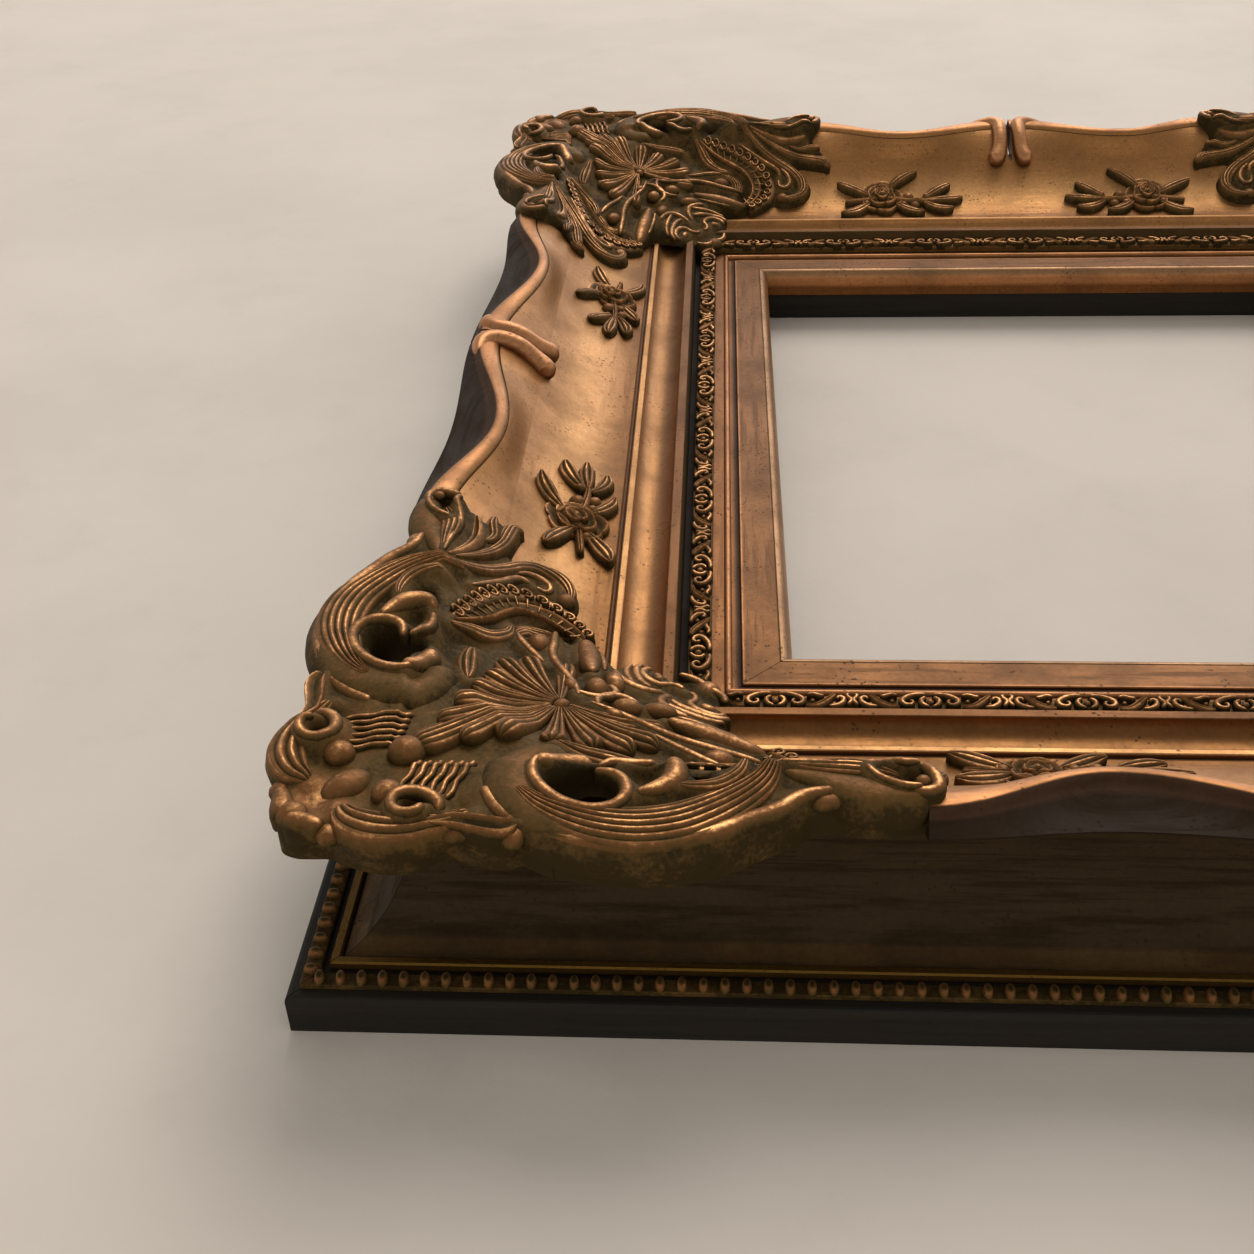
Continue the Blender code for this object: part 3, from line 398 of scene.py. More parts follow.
class Draft:
    """Closed shells gathered in mm, with a value for every point, before they become a mesh."""

    def __init__(self) -> None:
        """Start empty."""
        self.points: list[np.ndarray] = []
        self.values: list[np.ndarray] = []
        self.faces: list[tuple[int, ...]] = []
        self.count = 0

    def add(self, points: np.ndarray, faces: Iterable[Sequence[int]],
            values: np.ndarray) -> None:
        """Add one shell.

        Args:
            points: (n, 3) places in mm.
            faces: corner indices that count from the shell's own first point.
            values: (n,) or (n, 4) attribute values.
        """
        self.points.append(np.asarray(points, dtype=float))
        self.values.append(np.asarray(values, dtype=float))
        self.faces.extend(tuple(index + self.count for index in face) for face in faces)
        self.count += len(points)

    def loft(self, rings: np.ndarray, values: np.ndarray, caps: bool = True) -> None:
        """Add a closed loft through rings of the same number of points.

        Args:
            rings: (stations, points, 3) places in mm.
            values: (stations, points) or (stations, points, 4) attribute values.
            caps: whether both ends are closed.
        """
        stations, across = rings.shape[:2]
        faces: list[tuple[int, ...]] = []
        for row in range(stations - 1):
            for index in range(across):
                after = (index + 1) % across
                faces.append((row * across + index, row * across + after,
                              (row + 1) * across + after, (row + 1) * across + index))
        if caps:
            faces.append(tuple(range(across)))
            faces.append(tuple(range((stations - 1) * across, stations * across)))
        self.add(rings.reshape(-1, 3), faces, values.reshape(stations * across, -1).squeeze())

    def take(self, other: "Draft") -> None:
        """Add everything of another draft."""
        self.add(np.concatenate(other.points), other.faces, np.concatenate(other.values))

    def mirror(self) -> None:
        """Add the mirror image across Y = 0 of everything so far."""
        points = np.concatenate(self.points)
        points[:, 1] *= -1.0
        faces = [tuple(reversed(face)) for face in self.faces]
        values = np.concatenate(self.values)
        self.add(points, faces, values)

    def mesh(self, place: Matrix, channel: str, sharp: float = 40.0) -> bpy.types.Mesh:
        """Make the mesh.

        Args:
            place: matrix from the draft to its place in metres.
            channel: attribute the values go to, "wear" (rubbing with painted shade and highlight)
                or "tint".
            sharp: angle in degrees past which an edge stays crisp.

        Returns:
            The mesh, with its faces outwards.
        """
        matrix = np.array(place)
        points = np.concatenate(self.points) @ matrix[:3, :3].T + matrix[:3, 3]
        values = np.concatenate(self.values)
        mesh = bpy.data.meshes.new("draft")
        mesh.from_pydata(points.tolist(), [], self.faces)
        kind = "FLOAT" if values.ndim == 1 else "FLOAT_COLOR"
        layer = mesh.attributes.new(channel, kind, "POINT")
        layer.data.foreach_set("value" if kind == "FLOAT" else "color", values.ravel())
        bm = bmesh.new()
        bm.from_mesh(mesh)
        bmesh.ops.recalc_face_normals(bm, faces=bm.faces)
        bmesh.ops.triangulate(bm, faces=[face for face in bm.faces if len(face.verts) > 4],
                              ngon_method="EAR_CLIP")
        bm.to_mesh(mesh)
        bm.free()
        mesh.shade_smooth()
        mesh.set_sharp_from_angle(angle=math.radians(sharp))
        return mesh


def walk(line: np.ndarray) -> tuple[np.ndarray, np.ndarray]:
    """Unit tangents along a line of places, and the length walked to each."""
    tangent = np.gradient(line, axis=0)
    tangent /= np.maximum(np.linalg.norm(tangent, axis=1, keepdims=True), TINY)
    steps = np.linalg.norm(np.diff(line, axis=0), axis=1)
    return tangent, np.concatenate([[0.0], np.cumsum(steps)])


def closing_ends(walked: np.ndarray, first: float, last: float) -> np.ndarray:
    """Share of the full width along a stroke whose ends close in a round.

    Args:
        walked: length walked to each station.
        first, last: radius of the round at either end.

    Returns:
        Shares from nearly 0 at the ends to 1.
    """
    closing = np.ones(len(walked))
    for distance, radius in ((walked, first), (walked[-1] - walked, last)):
        share = np.clip(distance / radius, 0.0, 1.0)
        closing *= np.sqrt(np.clip(1.0 - (1.0 - share) ** 2, 0.03, 1.0))
    return closing


def round_rings(line: np.ndarray, side: np.ndarray, upward: np.ndarray,
                reach: np.ndarray | float, angle: np.ndarray) -> np.ndarray:
    """Rings round a line.

    Args:
        line: (n, 3) places.
        side, upward: (n, 3) or (1, 3) unit directions across the line.
        reach: radius, one for all or (n, 1, 1).
        angle: (m,) angles round the line.

    Returns:
        (n, m, 3) places.
    """
    return line[:, None, :] + reach * (side[:, None, :] * np.cos(angle)[None, :, None]
                                       + upward[:, None, :] * np.sin(angle)[None, :, None])


def smooth_line(points: np.ndarray, step: float) -> np.ndarray:
    """Resample a poly line as a smooth curve with even steps, finer at both ends.

    Args:
        points: (n, k) rows whose first two or three columns are a place.
        step: distance between stations.

    Returns:
        (m, k) rows.
    """
    padded = np.vstack([2 * points[0] - points[1], points, 2 * points[-1] - points[-2]])
    rows = []
    for index in range(len(points) - 1):
        p0, p1, p2, p3 = padded[index:index + 4]
        t = np.linspace(0.0, 1.0, CURVE_STEPS, endpoint=False)[:, None]
        rows.append(0.5 * (2 * p1 + (p2 - p0) * t + (2 * p0 - 5 * p1 + 4 * p2 - p3) * t ** 2
                           + (3 * p1 - p0 - 3 * p2 + p3) * t ** 3))
    rows.append(points[-1:])
    fine = np.vstack(rows)
    _, lengths = walk(fine[:, :2])
    total = lengths[-1]
    count = max(4, int(round(total / step)))
    even = np.linspace(0.0, total, count + 1)
    ends = np.array([0.12, 0.35]) * step
    places = np.unique(np.concatenate([even, ends, total - ends]))
    return np.stack([np.interp(places, lengths, fine[:, column])
                     for column in range(fine.shape[1])], axis=1)


def relief_height(relief: Relief, across: np.ndarray, lobes: int, groove: float = 0.38
                  ) -> tuple[np.ndarray, np.ndarray]:
    """Height of a stroke's section, and its wear: rubbing with a painted highlight on the crests
    and painted shade in the grooves and at the feet.

    Args:
        relief: kind of section.
        across: places from -1 to 1.
        lobes: how many folds run along a folded stroke.
        groove: how deep the grooves between the folds are, as a share of the height.

    Returns:
        Heights from 0 to 1, and wear from 0 to 1, at those places.
    """
    # Painted light and shade: the values rise towards the crests of the section and fall in its
    # grooves, veins and sides.
    dome = np.sqrt(np.clip(1.0 - across ** 2, 0.0, 1.0))
    if relief is Relief.FOLDED:
        wave = np.abs(np.sin(lobes * np.pi * (across + 1.0) / 2.0))
        height = dome ** 0.7 * (1.0 - groove + groove * wave)
        return height, 0.18 + 0.74 * wave ** 2.0 * (0.4 + 0.6 * dome)
    if relief is Relief.HOLLOW:
        rim = np.clip(np.abs(across) / 0.74, 0.0, 1.0) ** 2.2
        height = dome ** 0.55 * (0.36 + 0.78 * rim)
        return height, np.clip(0.12 + 0.95 * rim * dome ** 0.4, 0.0, 1.0)
    if relief is Relief.LEAF:
        vein = np.exp(-(across / 0.16) ** 2)
        height = (1.0 - np.abs(across) ** 1.8) * (1.0 - 0.4 * vein)
        return height, np.clip(0.25 + 0.75 * height - 0.5 * vein, 0.0, 1.0)
    return dome, 0.1 + 0.76 * dome ** 2.4


class Carver:
    """Carves strokes and balls that stand on a surface, and free round bars, in mm."""

    def __init__(self, surface: Callable[[np.ndarray, np.ndarray], np.ndarray]) -> None:
        """Start on a surface.

        Args:
            surface: height of the carving's crests at x and y.
        """
        self.surface = surface
        self.draft = Draft()

    def stroke(self, path: Sequence[tuple[float, ...]], relief: Relief = Relief.ROUND,
               crown: float = 4.0, lobes: int = 3, step: float = 1.8, sink: float = 5.0
               ) -> None:
        """Carve a raised stroke along a path.

        Args:
            path: (x, y, half width) or (x, y, half width, lift) stations.
            relief: kind of section.
            crown: height of the section.
            lobes: folds along a folded stroke.
            step: distance between stations.
            sink: how far the sides go down below the foot.
        """
        rows = np.array([(*row, 0.0)[:4] for row in path], dtype=float)
        line = smooth_line(rows, step)
        tangent, walked = walk(line[:, :2])
        normal = np.stack([-tangent[:, 1], tangent[:, 0]], axis=1)
        closing = closing_ends(walked, *(max(0.4, min(line[end, 2], walked[-1] * 0.45))
                                         for end in (0, -1)))
        steps = 4 * lobes + 1 if relief is Relief.FOLDED else 11
        across = -np.cos(np.linspace(0.0, np.pi, steps))
        if relief is Relief.FOLDED:
            across = np.linspace(-1.0, 1.0, steps)
        widest = float(line[:, 2].max())
        groove = min(0.38, 0.8 * widest / (lobes * min(crown, CROWN_SHARE * widest)))
        height, wear = relief_height(relief, across, lobes, groove)
        width = np.maximum(line[:, 2], LEAST_HALF) * closing
        crowns = np.minimum(crown, line[:, 2] * CROWN_SHARE)
        feet = self.surface(line[:, 0], line[:, 1]) + line[:, 3] - crowns
        rings = np.zeros((len(line), steps + 2, 3))
        values = np.zeros((len(line), steps + 2))
        rings[:, :steps, :2] = line[:, None, :2] + normal[:, None, :] * (
            width[:, None, None] * across[None, :, None])
        rings[:, :steps, 2] = feet[:, None] + (crowns * closing)[:, None] * height[None, :]
        if relief is Relief.ROUND:
            wear = wear * (1.0 - 0.5 * min(1.0, max(0.0, widest - 6.0) / 5.0))
        # Painted shade: darker towards the stroke's closing ends, and the sunk sides keep 0 so
        # that the stroke goes dark where it meets the ground.
        values[:, :steps] = wear[None, :] * (0.35 + 0.65 * closing[:, None])
        for index, place in ((steps, 0.92), (steps + 1, -0.92)):
            rings[:, index, :2] = line[:, :2] + normal * (width * place)[:, None]
            rings[:, index, 2] = feet - sink
        self.draft.loft(rings, values)

    def ball(self, x: float, y: float, radius: float, stretch: float = 1.0,
             turn: float = 0.0, lift: float = 0.0, flat: float = 0.85) -> None:
        """Carve a ball or a bean.

        Args:
            x, y: its place.
            radius: its short radius.
            stretch: how much longer it is along its turn.
            turn: direction of its long radius in degrees.
            lift: height of its crown over the surface.
            flat: its height as a share of its radius.
        """
        rows, columns = BALL_ROWS, BALL_COLUMNS
        down = np.linspace(0.0, np.pi, rows)[:, None]
        round_ = np.linspace(0.0, 2.0 * np.pi, columns, endpoint=False)[None, :]
        unit = np.stack([np.sin(down) * np.cos(round_), np.sin(down) * np.sin(round_),
                         np.cos(down) + 0.0 * round_], axis=-1)
        unit = np.concatenate([unit[:1, 0], unit[1:-1].reshape(-1, 3), unit[-1:, 0]])
        angle = math.radians(turn)
        long_, short = unit[:, 0] * radius * stretch, unit[:, 1] * radius
        top = float(self.surface(np.array([x]), np.array([y]))[0]) + lift
        points = np.stack([x + long_ * math.cos(angle) - short * math.sin(angle),
                           y + long_ * math.sin(angle) + short * math.cos(angle),
                           top + (unit[:, 2] - 1.0) * radius * flat], axis=1)
        faces: list[tuple[int, ...]] = []
        last = len(points) - 1
        for column in range(columns):
            after = (column + 1) % columns
            faces.append((0, 1 + column, 1 + after))
            for row in range(rows - 3):
                first = 1 + row * columns
                faces.append((first + column, first + columns + column,
                              first + columns + after, first + after))
            first = 1 + (rows - 3) * columns
            faces.append((first + column, last, first + after))
        # Painted highlight on top of the ball and painted shade underneath: the value rises with
        # the upward direction.
        self.draft.add(points, faces, np.clip(0.2 + 0.52 * unit[:, 2], 0.05, 1.0))

    def tube(self, path: Sequence[tuple[float, float, float, float]], sides: int = 16,
             step: float = 1.5) -> None:
        """Carve a free round bar.

        Args:
            path: (x, y, z, radius) stations.
            sides: points round it.
            step: distance between rings.
        """
        line = smooth_line(np.array(path, dtype=float), step)
        tangent, walked = walk(line[:, :3])
        side = np.cross(UPWARD, tangent)
        side /= np.maximum(np.linalg.norm(side, axis=1, keepdims=True), TINY)
        upward = np.cross(tangent, side)
        closing = closing_ends(walked, *(max(line[end, 3], LEAST_HALF) for end in (0, -1)))
        angle = np.linspace(0.0, 2.0 * np.pi, sides, endpoint=False)
        rings = round_rings(line[:, :3], side, upward, (line[:, 3] * closing)[:, None, None],
                            angle)
        # Painted light: lighter on the upper side of the bar, darker underneath.
        lit = np.clip(0.45 + 0.6 * np.sin(angle), 0.05, 1.0)
        self.draft.loft(rings, np.repeat(lit[None, :], len(line), axis=0))


def arc(centre: tuple[float, float], radii: tuple[float, float], start: float, end: float,
        steps: int) -> list[tuple[float, float]]:
    """Points of an elliptical arc between two angles in degrees."""
    angles = [math.radians(start + (end - start) * index / steps) for index in range(steps + 1)]
    return [(centre[0] + radii[0] * math.cos(angle), centre[1] + radii[1] * math.sin(angle))
            for angle in angles]


def new_object(name: str, data: bpy.types.ID) -> bpy.types.Object:
    """Make an object of a mesh, lamp or camera and link it to the scene."""
    obj = bpy.data.objects.new(name, data)
    bpy.context.scene.collection.objects.link(obj)
    return obj


def paint(mesh: bpy.types.Mesh, material: bpy.types.Material) -> None:
    """Give a mesh one material in place of any others."""
    mesh.materials.clear()
    mesh.materials.append(material)


def dress(mesh: bpy.types.Mesh, node: str, material: bpy.types.Material,
          body: str = "frame") -> None:
    """Make a finished piece of a mesh and tell the frame what it stands for.

    Args:
        mesh: its mesh, in place.
        node: CAD node it stands for.
        material: its finish.
        body: the body it rides on.
    """
    name = f"{node}_dressed"
    mesh.name = name
    paint(mesh, material)
    obj = new_object(name, mesh)
    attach(obj, body)
    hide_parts(node)
    log.info("%s: %d faces", name, len(mesh.polygons))


# Mouldings


@dataclass
class Moulding:
    """The long mouldings of every side: cove rail and slip, and the base board's finish."""

    gilt: bpy.types.Material
    wood: bpy.types.Material
    base_height: float = 18.0
    rabbet_cover: float = 6.2
    slip_out: float = 24.5
    slip_top: float = 39.2
    slip_seat: float = 31.0
    lip_bottom: float = 26.8
    lip_width: float = 5.4
    hollow: tuple[float, float] = (61.4, 82.4)
    panel_start: tuple[float, float] = (89.0, 48.8)
    panel_power: float = 1.75
    panel_reach: float = 160.0
    crest_height: float = 97.5
    seat: tuple[float, float] = (141.0, 158.0)
    cove_foot: float = 186.0
    cove_top: float = 62.0
    cove_waist: float = 156.5
    mitre_gap: float = GAP / math.sqrt(2.0)
    gold: Colour = screen(188, 138, 86)
    old_gold: Colour = screen(164, 115, 68)
    copper: Colour = screen(168, 114, 72)
    brown: Colour = screen(122, 78, 42)
    olive: Colour = screen(86, 64, 34)
    russet: Colour = screen(106, 68, 36)
    # Painted shade: near black for the quirks, grooves and gaps of the section.
    black: Colour = screen(34, 20, 8)
    umber: Colour = screen(60, 45, 25)

    def panel_height(self, out: np.ndarray | float) -> np.ndarray:
        """Height of the gilded panel cove at a distance out from the sight edge."""
        start, height = self.panel_start
        share = np.clip((np.asarray(out) - start) / (self.panel_reach - start), 0.0, 1.0)
        return height + (self.crest_height - height) * share ** self.panel_power

    @staticmethod
    def streaked(colour: Colour, amount: float) -> Colour:
        """The same colour with its alpha set to how much the brush streaks show."""
        return (*colour[:3], amount)

    @staticmethod
    def mixed(first: Colour, second: Colour, share: float) -> Colour:
        """A colour between two others."""
        return tuple(a + (b - a) * share for a, b in zip(first, second))

    def slip_section(self) -> Section:
        """Inner band: a flat with a step, and the rounded lip over the opening."""
        copper, brown = self.streaked(self.copper, 0.15), self.streaked(self.brown, 0.3)
        flat = self.streaked(screen(110, 72, 40), 0.35)
        light = self.streaked(screen(150, 112, 78), 0.1)
        lip = arc((self.lip_width, self.lip_bottom + 3.0),
                  (self.lip_width, self.slip_top - self.lip_bottom - 3.0), 180.0, 90.0, 12)
        inner = self.rabbet_cover - GAP
        top = self.slip_top
        points: Section = [(inner, self.lip_bottom, brown), (inner, self.slip_seat, brown),
                           (self.slip_out, self.slip_seat, brown),
                           (self.slip_out, top - 0.5, brown), (self.slip_out - 0.5, top, copper),
                           (self.slip_out - 1.6, top, flat), (15.0, top - 0.05, flat),
                           (6.8, top, flat), (6.2, top - 0.35, self.streaked(self.olive, 0.2)),
                           (5.8, top - 0.02, light)]
        points += [(out, height, light if height > 35.0 else copper)
                   for out, height in reversed(lip)]
        points.append((0.0, self.lip_bottom, brown))
        return points

    def cove_section(self) -> Section:
        """Main moulding, from the quirk beside the slip over the panel to the back cove."""
        base = self.base_height + GAP
        low, high = self.hollow
        middle, half = (low + high) / 2.0, (high - low) / 2.0
        copper, brown = self.streaked(self.copper, 0.1), self.streaked(self.brown, 0.25)
        black, olive = self.streaked(self.black, 0.0), self.streaked(self.olive, 0.35)
        gold, dim = self.streaked(self.gold, 0.12), self.streaked(self.old_gold, 0.2)
        umber, russet = self.streaked(self.umber, 0.9), self.streaked(self.russet, 0.2)
        inner = self.slip_out + GAP
        # The near-black points paint shade into the quirk beside the slip, the grooves beside the
        # carved band and before the panel, and the groove at the foot.
        points: Section = [(self.rabbet_cover, base, brown),
                           (self.rabbet_cover, self.slip_seat - GAP, brown),
                           (inner, self.slip_seat - GAP, black), (inner, 37.8, black),
                           (29.0, 37.8, brown)]
        points += [(out, height, copper if height > 39.4 else brown)
                   for out, height in arc((31.0, 38.8), (1.8, 2.0), 170.0, 10.0, 8)]
        points += [(32.9, 39.0, brown), (38.4, 39.0, brown), (39.4, 39.0, black),
                   (50.3, 39.0, black), (50.6, 36.0, black), (53.9, 36.0, black),
                   (55.0, 44.0, olive), (56.0, 49.6, olive), (56.4, 50.0, russet),
                   (58.5, 50.0, russet), (60.9, 50.0, russet), (61.4, 49.7, russet)]
        # Painted shade: the inner flank of the hollow goes darker russet, the outer flank old
        # gold.
        for out, height in arc((middle, 50.0), (half, 8.0), 184.0, 356.0, 20):
            share = 0.25 + 0.75 * float(eased(np.array((out - low - 4.0) / (high - low - 9.0))))
            points.append((out, height, self.mixed(russet, dim, share)))
        points += [(82.5, 49.7, copper), (83.0, 50.0, gold), (85.4, 50.0, gold),
                   (86.0, 49.6, copper), (86.4, 48.0, black), (88.0, 47.8, brown)]
        # Painted shade at the foot of the panel cove by the groove, lightening to gold further
        # out, then darker old gold towards the crest.
        deep = self.streaked(screen(122, 80, 40), 0.25)
        for out in np.linspace(self.panel_start[0], self.seat[0], 22):
            tone = self.mixed(deep, gold, float(eased((out - 92.0) / 26.0)))
            tone = self.mixed(tone, dim, float(eased((out - 120.0) / 18.0)))
            points.append((float(out), float(self.panel_height(out)), tone))
        seat_height = float(self.panel_height(self.seat[0]))
        points.append((self.seat[1], seat_height, umber))
        sweep = arc((self.cove_foot + 2.0, self.cove_top),
                    (self.cove_foot + 2.0 - self.cove_waist, self.cove_top - base - 1.4),
                    180.0, 257.0, 24)
        for index, (out, height) in enumerate(sweep):
            share = index / (len(sweep) - 1)
            tone = umber if share < 0.8 else self.streaked(screen(84, 62, 34), 0.7)
            points.append((out, height, tone))
        step = self.streaked(screen(112, 82, 34), 0.3)
        foot = self.cove_foot
        # Painted shade in the groove at the foot and along the bottom edge.
        points += [(foot - 4.4, base + 1.6, black), (foot - 3.9, base + 1.7, black),
                   (foot - 3.7, base + 3.6, step), (foot - 3.2, base + 4.0, step),
                   (foot - 0.7, base + 4.0, step), (foot, base + 3.3, step),
                   (foot, base, black)]
        return points

    def swept(self, section: Section, side: Side) -> bpy.types.Mesh:
        """Sweep a section along one side to both mitres, with a UV map that runs along it.

        Args:
            section: (out, height, colour) points.
            side: the side it lies on.

        Returns:
            The mesh in place.
        """
        outs = np.array([point[0] for point in section])
        heights = np.array([point[1] for point in section])
        tints = np.array([point[2] for point in section])
        rings = np.zeros((RAIL_STATIONS, len(section), 3))
        reach = side.length + 2.0 * outs - 2.0 * self.mitre_gap
        for row, share in enumerate(np.linspace(-0.5, 0.5, RAIL_STATIONS)):
            rings[row, :, 0] = share * reach
            rings[row, :, 1] = -outs
            rings[row, :, 2] = heights
        draft = Draft()
        draft.loft(rings, np.repeat(tints[None], RAIL_STATIONS, axis=0))
        mesh = draft.mesh(side.place, "tint", sharp=30.0)
        run_map(mesh, side)
        return mesh

    def build(self) -> None:
        """Lay all four sides of each moulding, and finish the base boards."""
        for side in Side:
            for kind, section in (("cove_rail", self.cove_section()),
                                  ("slip", self.slip_section())):
                dress(self.swept(section, side), f"{kind}_{side.label}", self.gilt)
            paint(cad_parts[f"base_rail_{side.label}"].data, self.wood)


def run_map(mesh: bpy.types.Mesh, side: Side) -> None:
    """Add a UV map that runs along a side: along in U, the way round the section in V."""
    back = np.array(side.place.inverted())
    places = np.zeros(len(mesh.vertices) * 3)
    mesh.vertices.foreach_get("co", places)
    local = places.reshape(-1, 3) @ back[:3, :3].T + back[:3, 3]
    layer = mesh.uv_layers.new(name="run")
    corners = np.zeros(len(mesh.loops), dtype=int)
    mesh.loops.foreach_get("vertex_index", corners)
    along, around = local[:, 0] * MM, (local[:, 2] - local[:, 1] * 0.6) * MM
    layer.data.foreach_set("uv", np.stack([along[corners], around[corners]], 1).ravel())


# Repeated ornament


def grown(base: bpy.types.Mesh, tree: bpy.types.NodeTree, values: dict[str, object]
          ) -> bpy.types.Mesh:
    """Run a Geometry Nodes tree on a mesh and take the result as a plain mesh.

    Args:
        base: mesh it starts from.
        tree: the tree.
        values: its inputs by name.

    Returns:
        The evaluated mesh.
    """
    holder = new_object("holder", base)
    modifier = holder.modifiers.new("repeat", "NODES")
    modifier.node_group = tree
    for item in tree.interface.items_tree:
        if item.item_type == "SOCKET" and item.in_out == "INPUT" and item.name in values:
            modifier[item.identifier] = values[item.name]
    depsgraph = bpy.context.evaluated_depsgraph_get()
    result = bpy.data.meshes.new_from_object(holder.evaluated_get(depsgraph))
    bpy.data.objects.remove(holder, do_unlink=True)
    return result


def repeated(sheet: Sheet, give: bpy.types.bpy_prop_collection, piece: bpy.types.NodeSocket,
             scale: bpy.types.NodeSocket, place: dict[int, object]) -> bpy.types.NodeSocket:
    """Set copies of a piece in an even row about the middle of a side, on the base geometry.

    Args:
        sheet: the tree.
        give: its inputs, with Geometry, Count and Pitch among them.
        piece: what is repeated.
        scale: size of each copy.
        place: Y and Z of the row, by index 1 and 2.

    Returns:
        The base and the copies as one geometry.
    """
    half = sheet.math("MULTIPLY", sheet.math("SUBTRACT", give["Count"], 1.0), 0.5)
    first = sheet.math("MULTIPLY", sheet.math("MULTIPLY", half, give["Pitch"]), -1.0)
    origin = sheet.node("ShaderNodeCombineXYZ", {0: first, **place})
    offset = sheet.node("ShaderNodeCombineXYZ", {0: give["Pitch"]})
    line = sheet.node("GeometryNodeMeshLine", {
        "Count": give["Count"], "Start Location": origin.outputs[0],
        "Offset": offset.outputs[0]})
    copies = sheet.node("GeometryNodeInstanceOnPoints", {
        "Points": line.outputs["Mesh"], "Instance": piece, "Scale": scale})
    both = sheet.node("GeometryNodeJoinGeometry", {0: give["Geometry"]})
    sheet.tree.links.new(copies.outputs[0], both.inputs[0])
    return sheet.node("GeometryNodeRealizeInstances", {0: both.outputs[0]}).outputs[0]


def finished(sheet: Sheet, geometry: bpy.types.NodeSocket, material: bpy.types.NodeSocket) -> None:
    """End a Geometry Nodes tree in a geometry of one material."""
    painted = sheet.node("GeometryNodeSetMaterial", {"Geometry": geometry, "Material": material})
    sheet.node("NodeGroupOutput", {0: painted.outputs[0]})


@dataclass
class Running:
    """What repeats along the sides: the bead row on the base and the carved band."""

    material: bpy.types.Material
    beads_in: float = 189.2
    beads_out: float = 195.9
    bead_pitch: float = 8.2
    bead_floor: float = 18.3
    band_in: float = 39.2
    band_out: float = 50.0
    band_floor: float = 39.3
    band_height: float = 7.2
    band_pitch: float = 70.0

    def bead_tree(self) -> bpy.types.NodeTree:
        """Row of beads on a strip: a line of points with a bead on each."""
        tree, sheet, start = group("bead_row", {
            "Geometry": GEOMETRY, "Count": INTEGER, "Pitch": FLOAT, "Length": FLOAT,
            "Width": FLOAT, "Height": FLOAT, "Out": FLOAT, "Floor": FLOAT, "Seed": INTEGER,
            "Material": MATERIAL}, {"Geometry": GEOMETRY}, "GeometryNodeTree")
        give = start.outputs
        out = sheet.math("MULTIPLY", give["Out"], -1.0)
        ball = sheet.node("GeometryNodeMeshUVSphere", {"Segments": 10, "Rings": 8,
                                                       "Radius": 0.5})
        size = sheet.node("ShaderNodeCombineXYZ", {0: give["Length"], 1: give["Width"],
                                                   2: give["Height"]})
        place = sheet.node("GeometryNodeInputPosition")
        upward = sheet.node("ShaderNodeSeparateXYZ", {0: place.outputs[0]})
        # Painted shade under each bead and in the dent on its top, and a painted highlight round
        # its upper half.
        middle = sheet.between(upward.outputs[2], 0.38, 0.5)
        rim = sheet.between(upward.outputs[2], -0.1, 0.32)
        wear = sheet.math("MULTIPLY_ADD", middle, -0.6, sheet.math("MULTIPLY", rim, 0.6))
        marked = sheet.node("GeometryNodeStoreNamedAttribute", {
            "Geometry": ball.outputs["Mesh"], "Name": "wear", "Value": wear},
            data_type="FLOAT", domain="POINT")
        dent = sheet.node("ShaderNodeCombineXYZ", {2: sheet.math("MULTIPLY", middle, -0.13)})
        sunk = sheet.node("GeometryNodeSetPosition", {"Geometry": marked.outputs[0],
                                                      "Offset": dent.outputs[0]})
        shaped = sheet.node("GeometryNodeTransform", {"Geometry": sunk.outputs[0],
                                                      "Scale": size.outputs[0]})
        vary = sheet.node("FunctionNodeRandomValue", {2: 0.93, 3: 1.04, "Seed": give["Seed"]},
                          data_type="FLOAT")
        beads = repeated(sheet, give, shaped.outputs[0], vary.outputs[1],
                         {1: out, 2: give["Floor"]})
        smooth = sheet.node("GeometryNodeSetShadeSmooth", {0: beads})
        finished(sheet, smooth.outputs[0], give["Material"])
        return tree

    def band_tree(self) -> bpy.types.NodeTree:
        """Running ornament: the same carved length set end to end."""
        tree, sheet, start = group("running_band", {
            "Geometry": GEOMETRY, "Motif": OBJECT, "Count": INTEGER, "Pitch": FLOAT,
            "Stretch": FLOAT, "Material": MATERIAL}, {"Geometry": GEOMETRY}, "GeometryNodeTree")
        give = start.outputs
        motif = sheet.node("GeometryNodeObjectInfo", {"Object": give["Motif"]})
        size = sheet.node("ShaderNodeCombineXYZ", {0: give["Stretch"], 1: 1.0, 2: 1.0})
        copies = repeated(sheet, give, motif.outputs["Geometry"], size.outputs[0], {})
        finished(sheet, copies, give["Material"])
        return tree

    def strip(self, low: float, high: float, floor: float, top: float, side: Side,
              wear: float) -> bpy.types.Mesh:
        """Flat mitred strip under an ornament, drawn on the near side in mm."""
        draft = Draft()
        section = np.array([(low, floor), (high, floor), (high, top - 0.4), (high - 0.4, top),
                            (low + 0.4, top), (low, top - 0.4)])
        reach = side.length + 2.0 * section[:, 0] - 0.5
        rings = np.stack([np.stack([share * reach, -section[:, 0], section[:, 1]], axis=1)
                          for share in (-0.5, 0.5)])
        draft.loft(rings, np.full(rings.shape[:2], wear))
        return draft.mesh(Matrix.Identity(4), "wear")

    def motif(self) -> bpy.types.Object:
        """One length of the running ornament, in mm about X = 0."""
        floor, top = self.band_floor, self.band_floor + self.band_height
        carver = Carver(lambda x, y: np.full_like(np.asarray(x, dtype=float), top))
        mid = -(self.band_in + self.band_out) / 2.0
        sink = top - floor - 3.0

        def lay(points: Sequence[tuple[float, ...]], relief: Relief = Relief.ROUND,
                crown: float = 3.0, lobes: int = 2) -> None:
            """Carve a stroke given as (x, across, half width) about the band's middle."""
            for sign in (1.0, -1.0):
                carver.stroke([(sign * row[0], mid + row[1], *row[2:]) for row in points],
                              relief, crown, lobes, 1.5, sink)

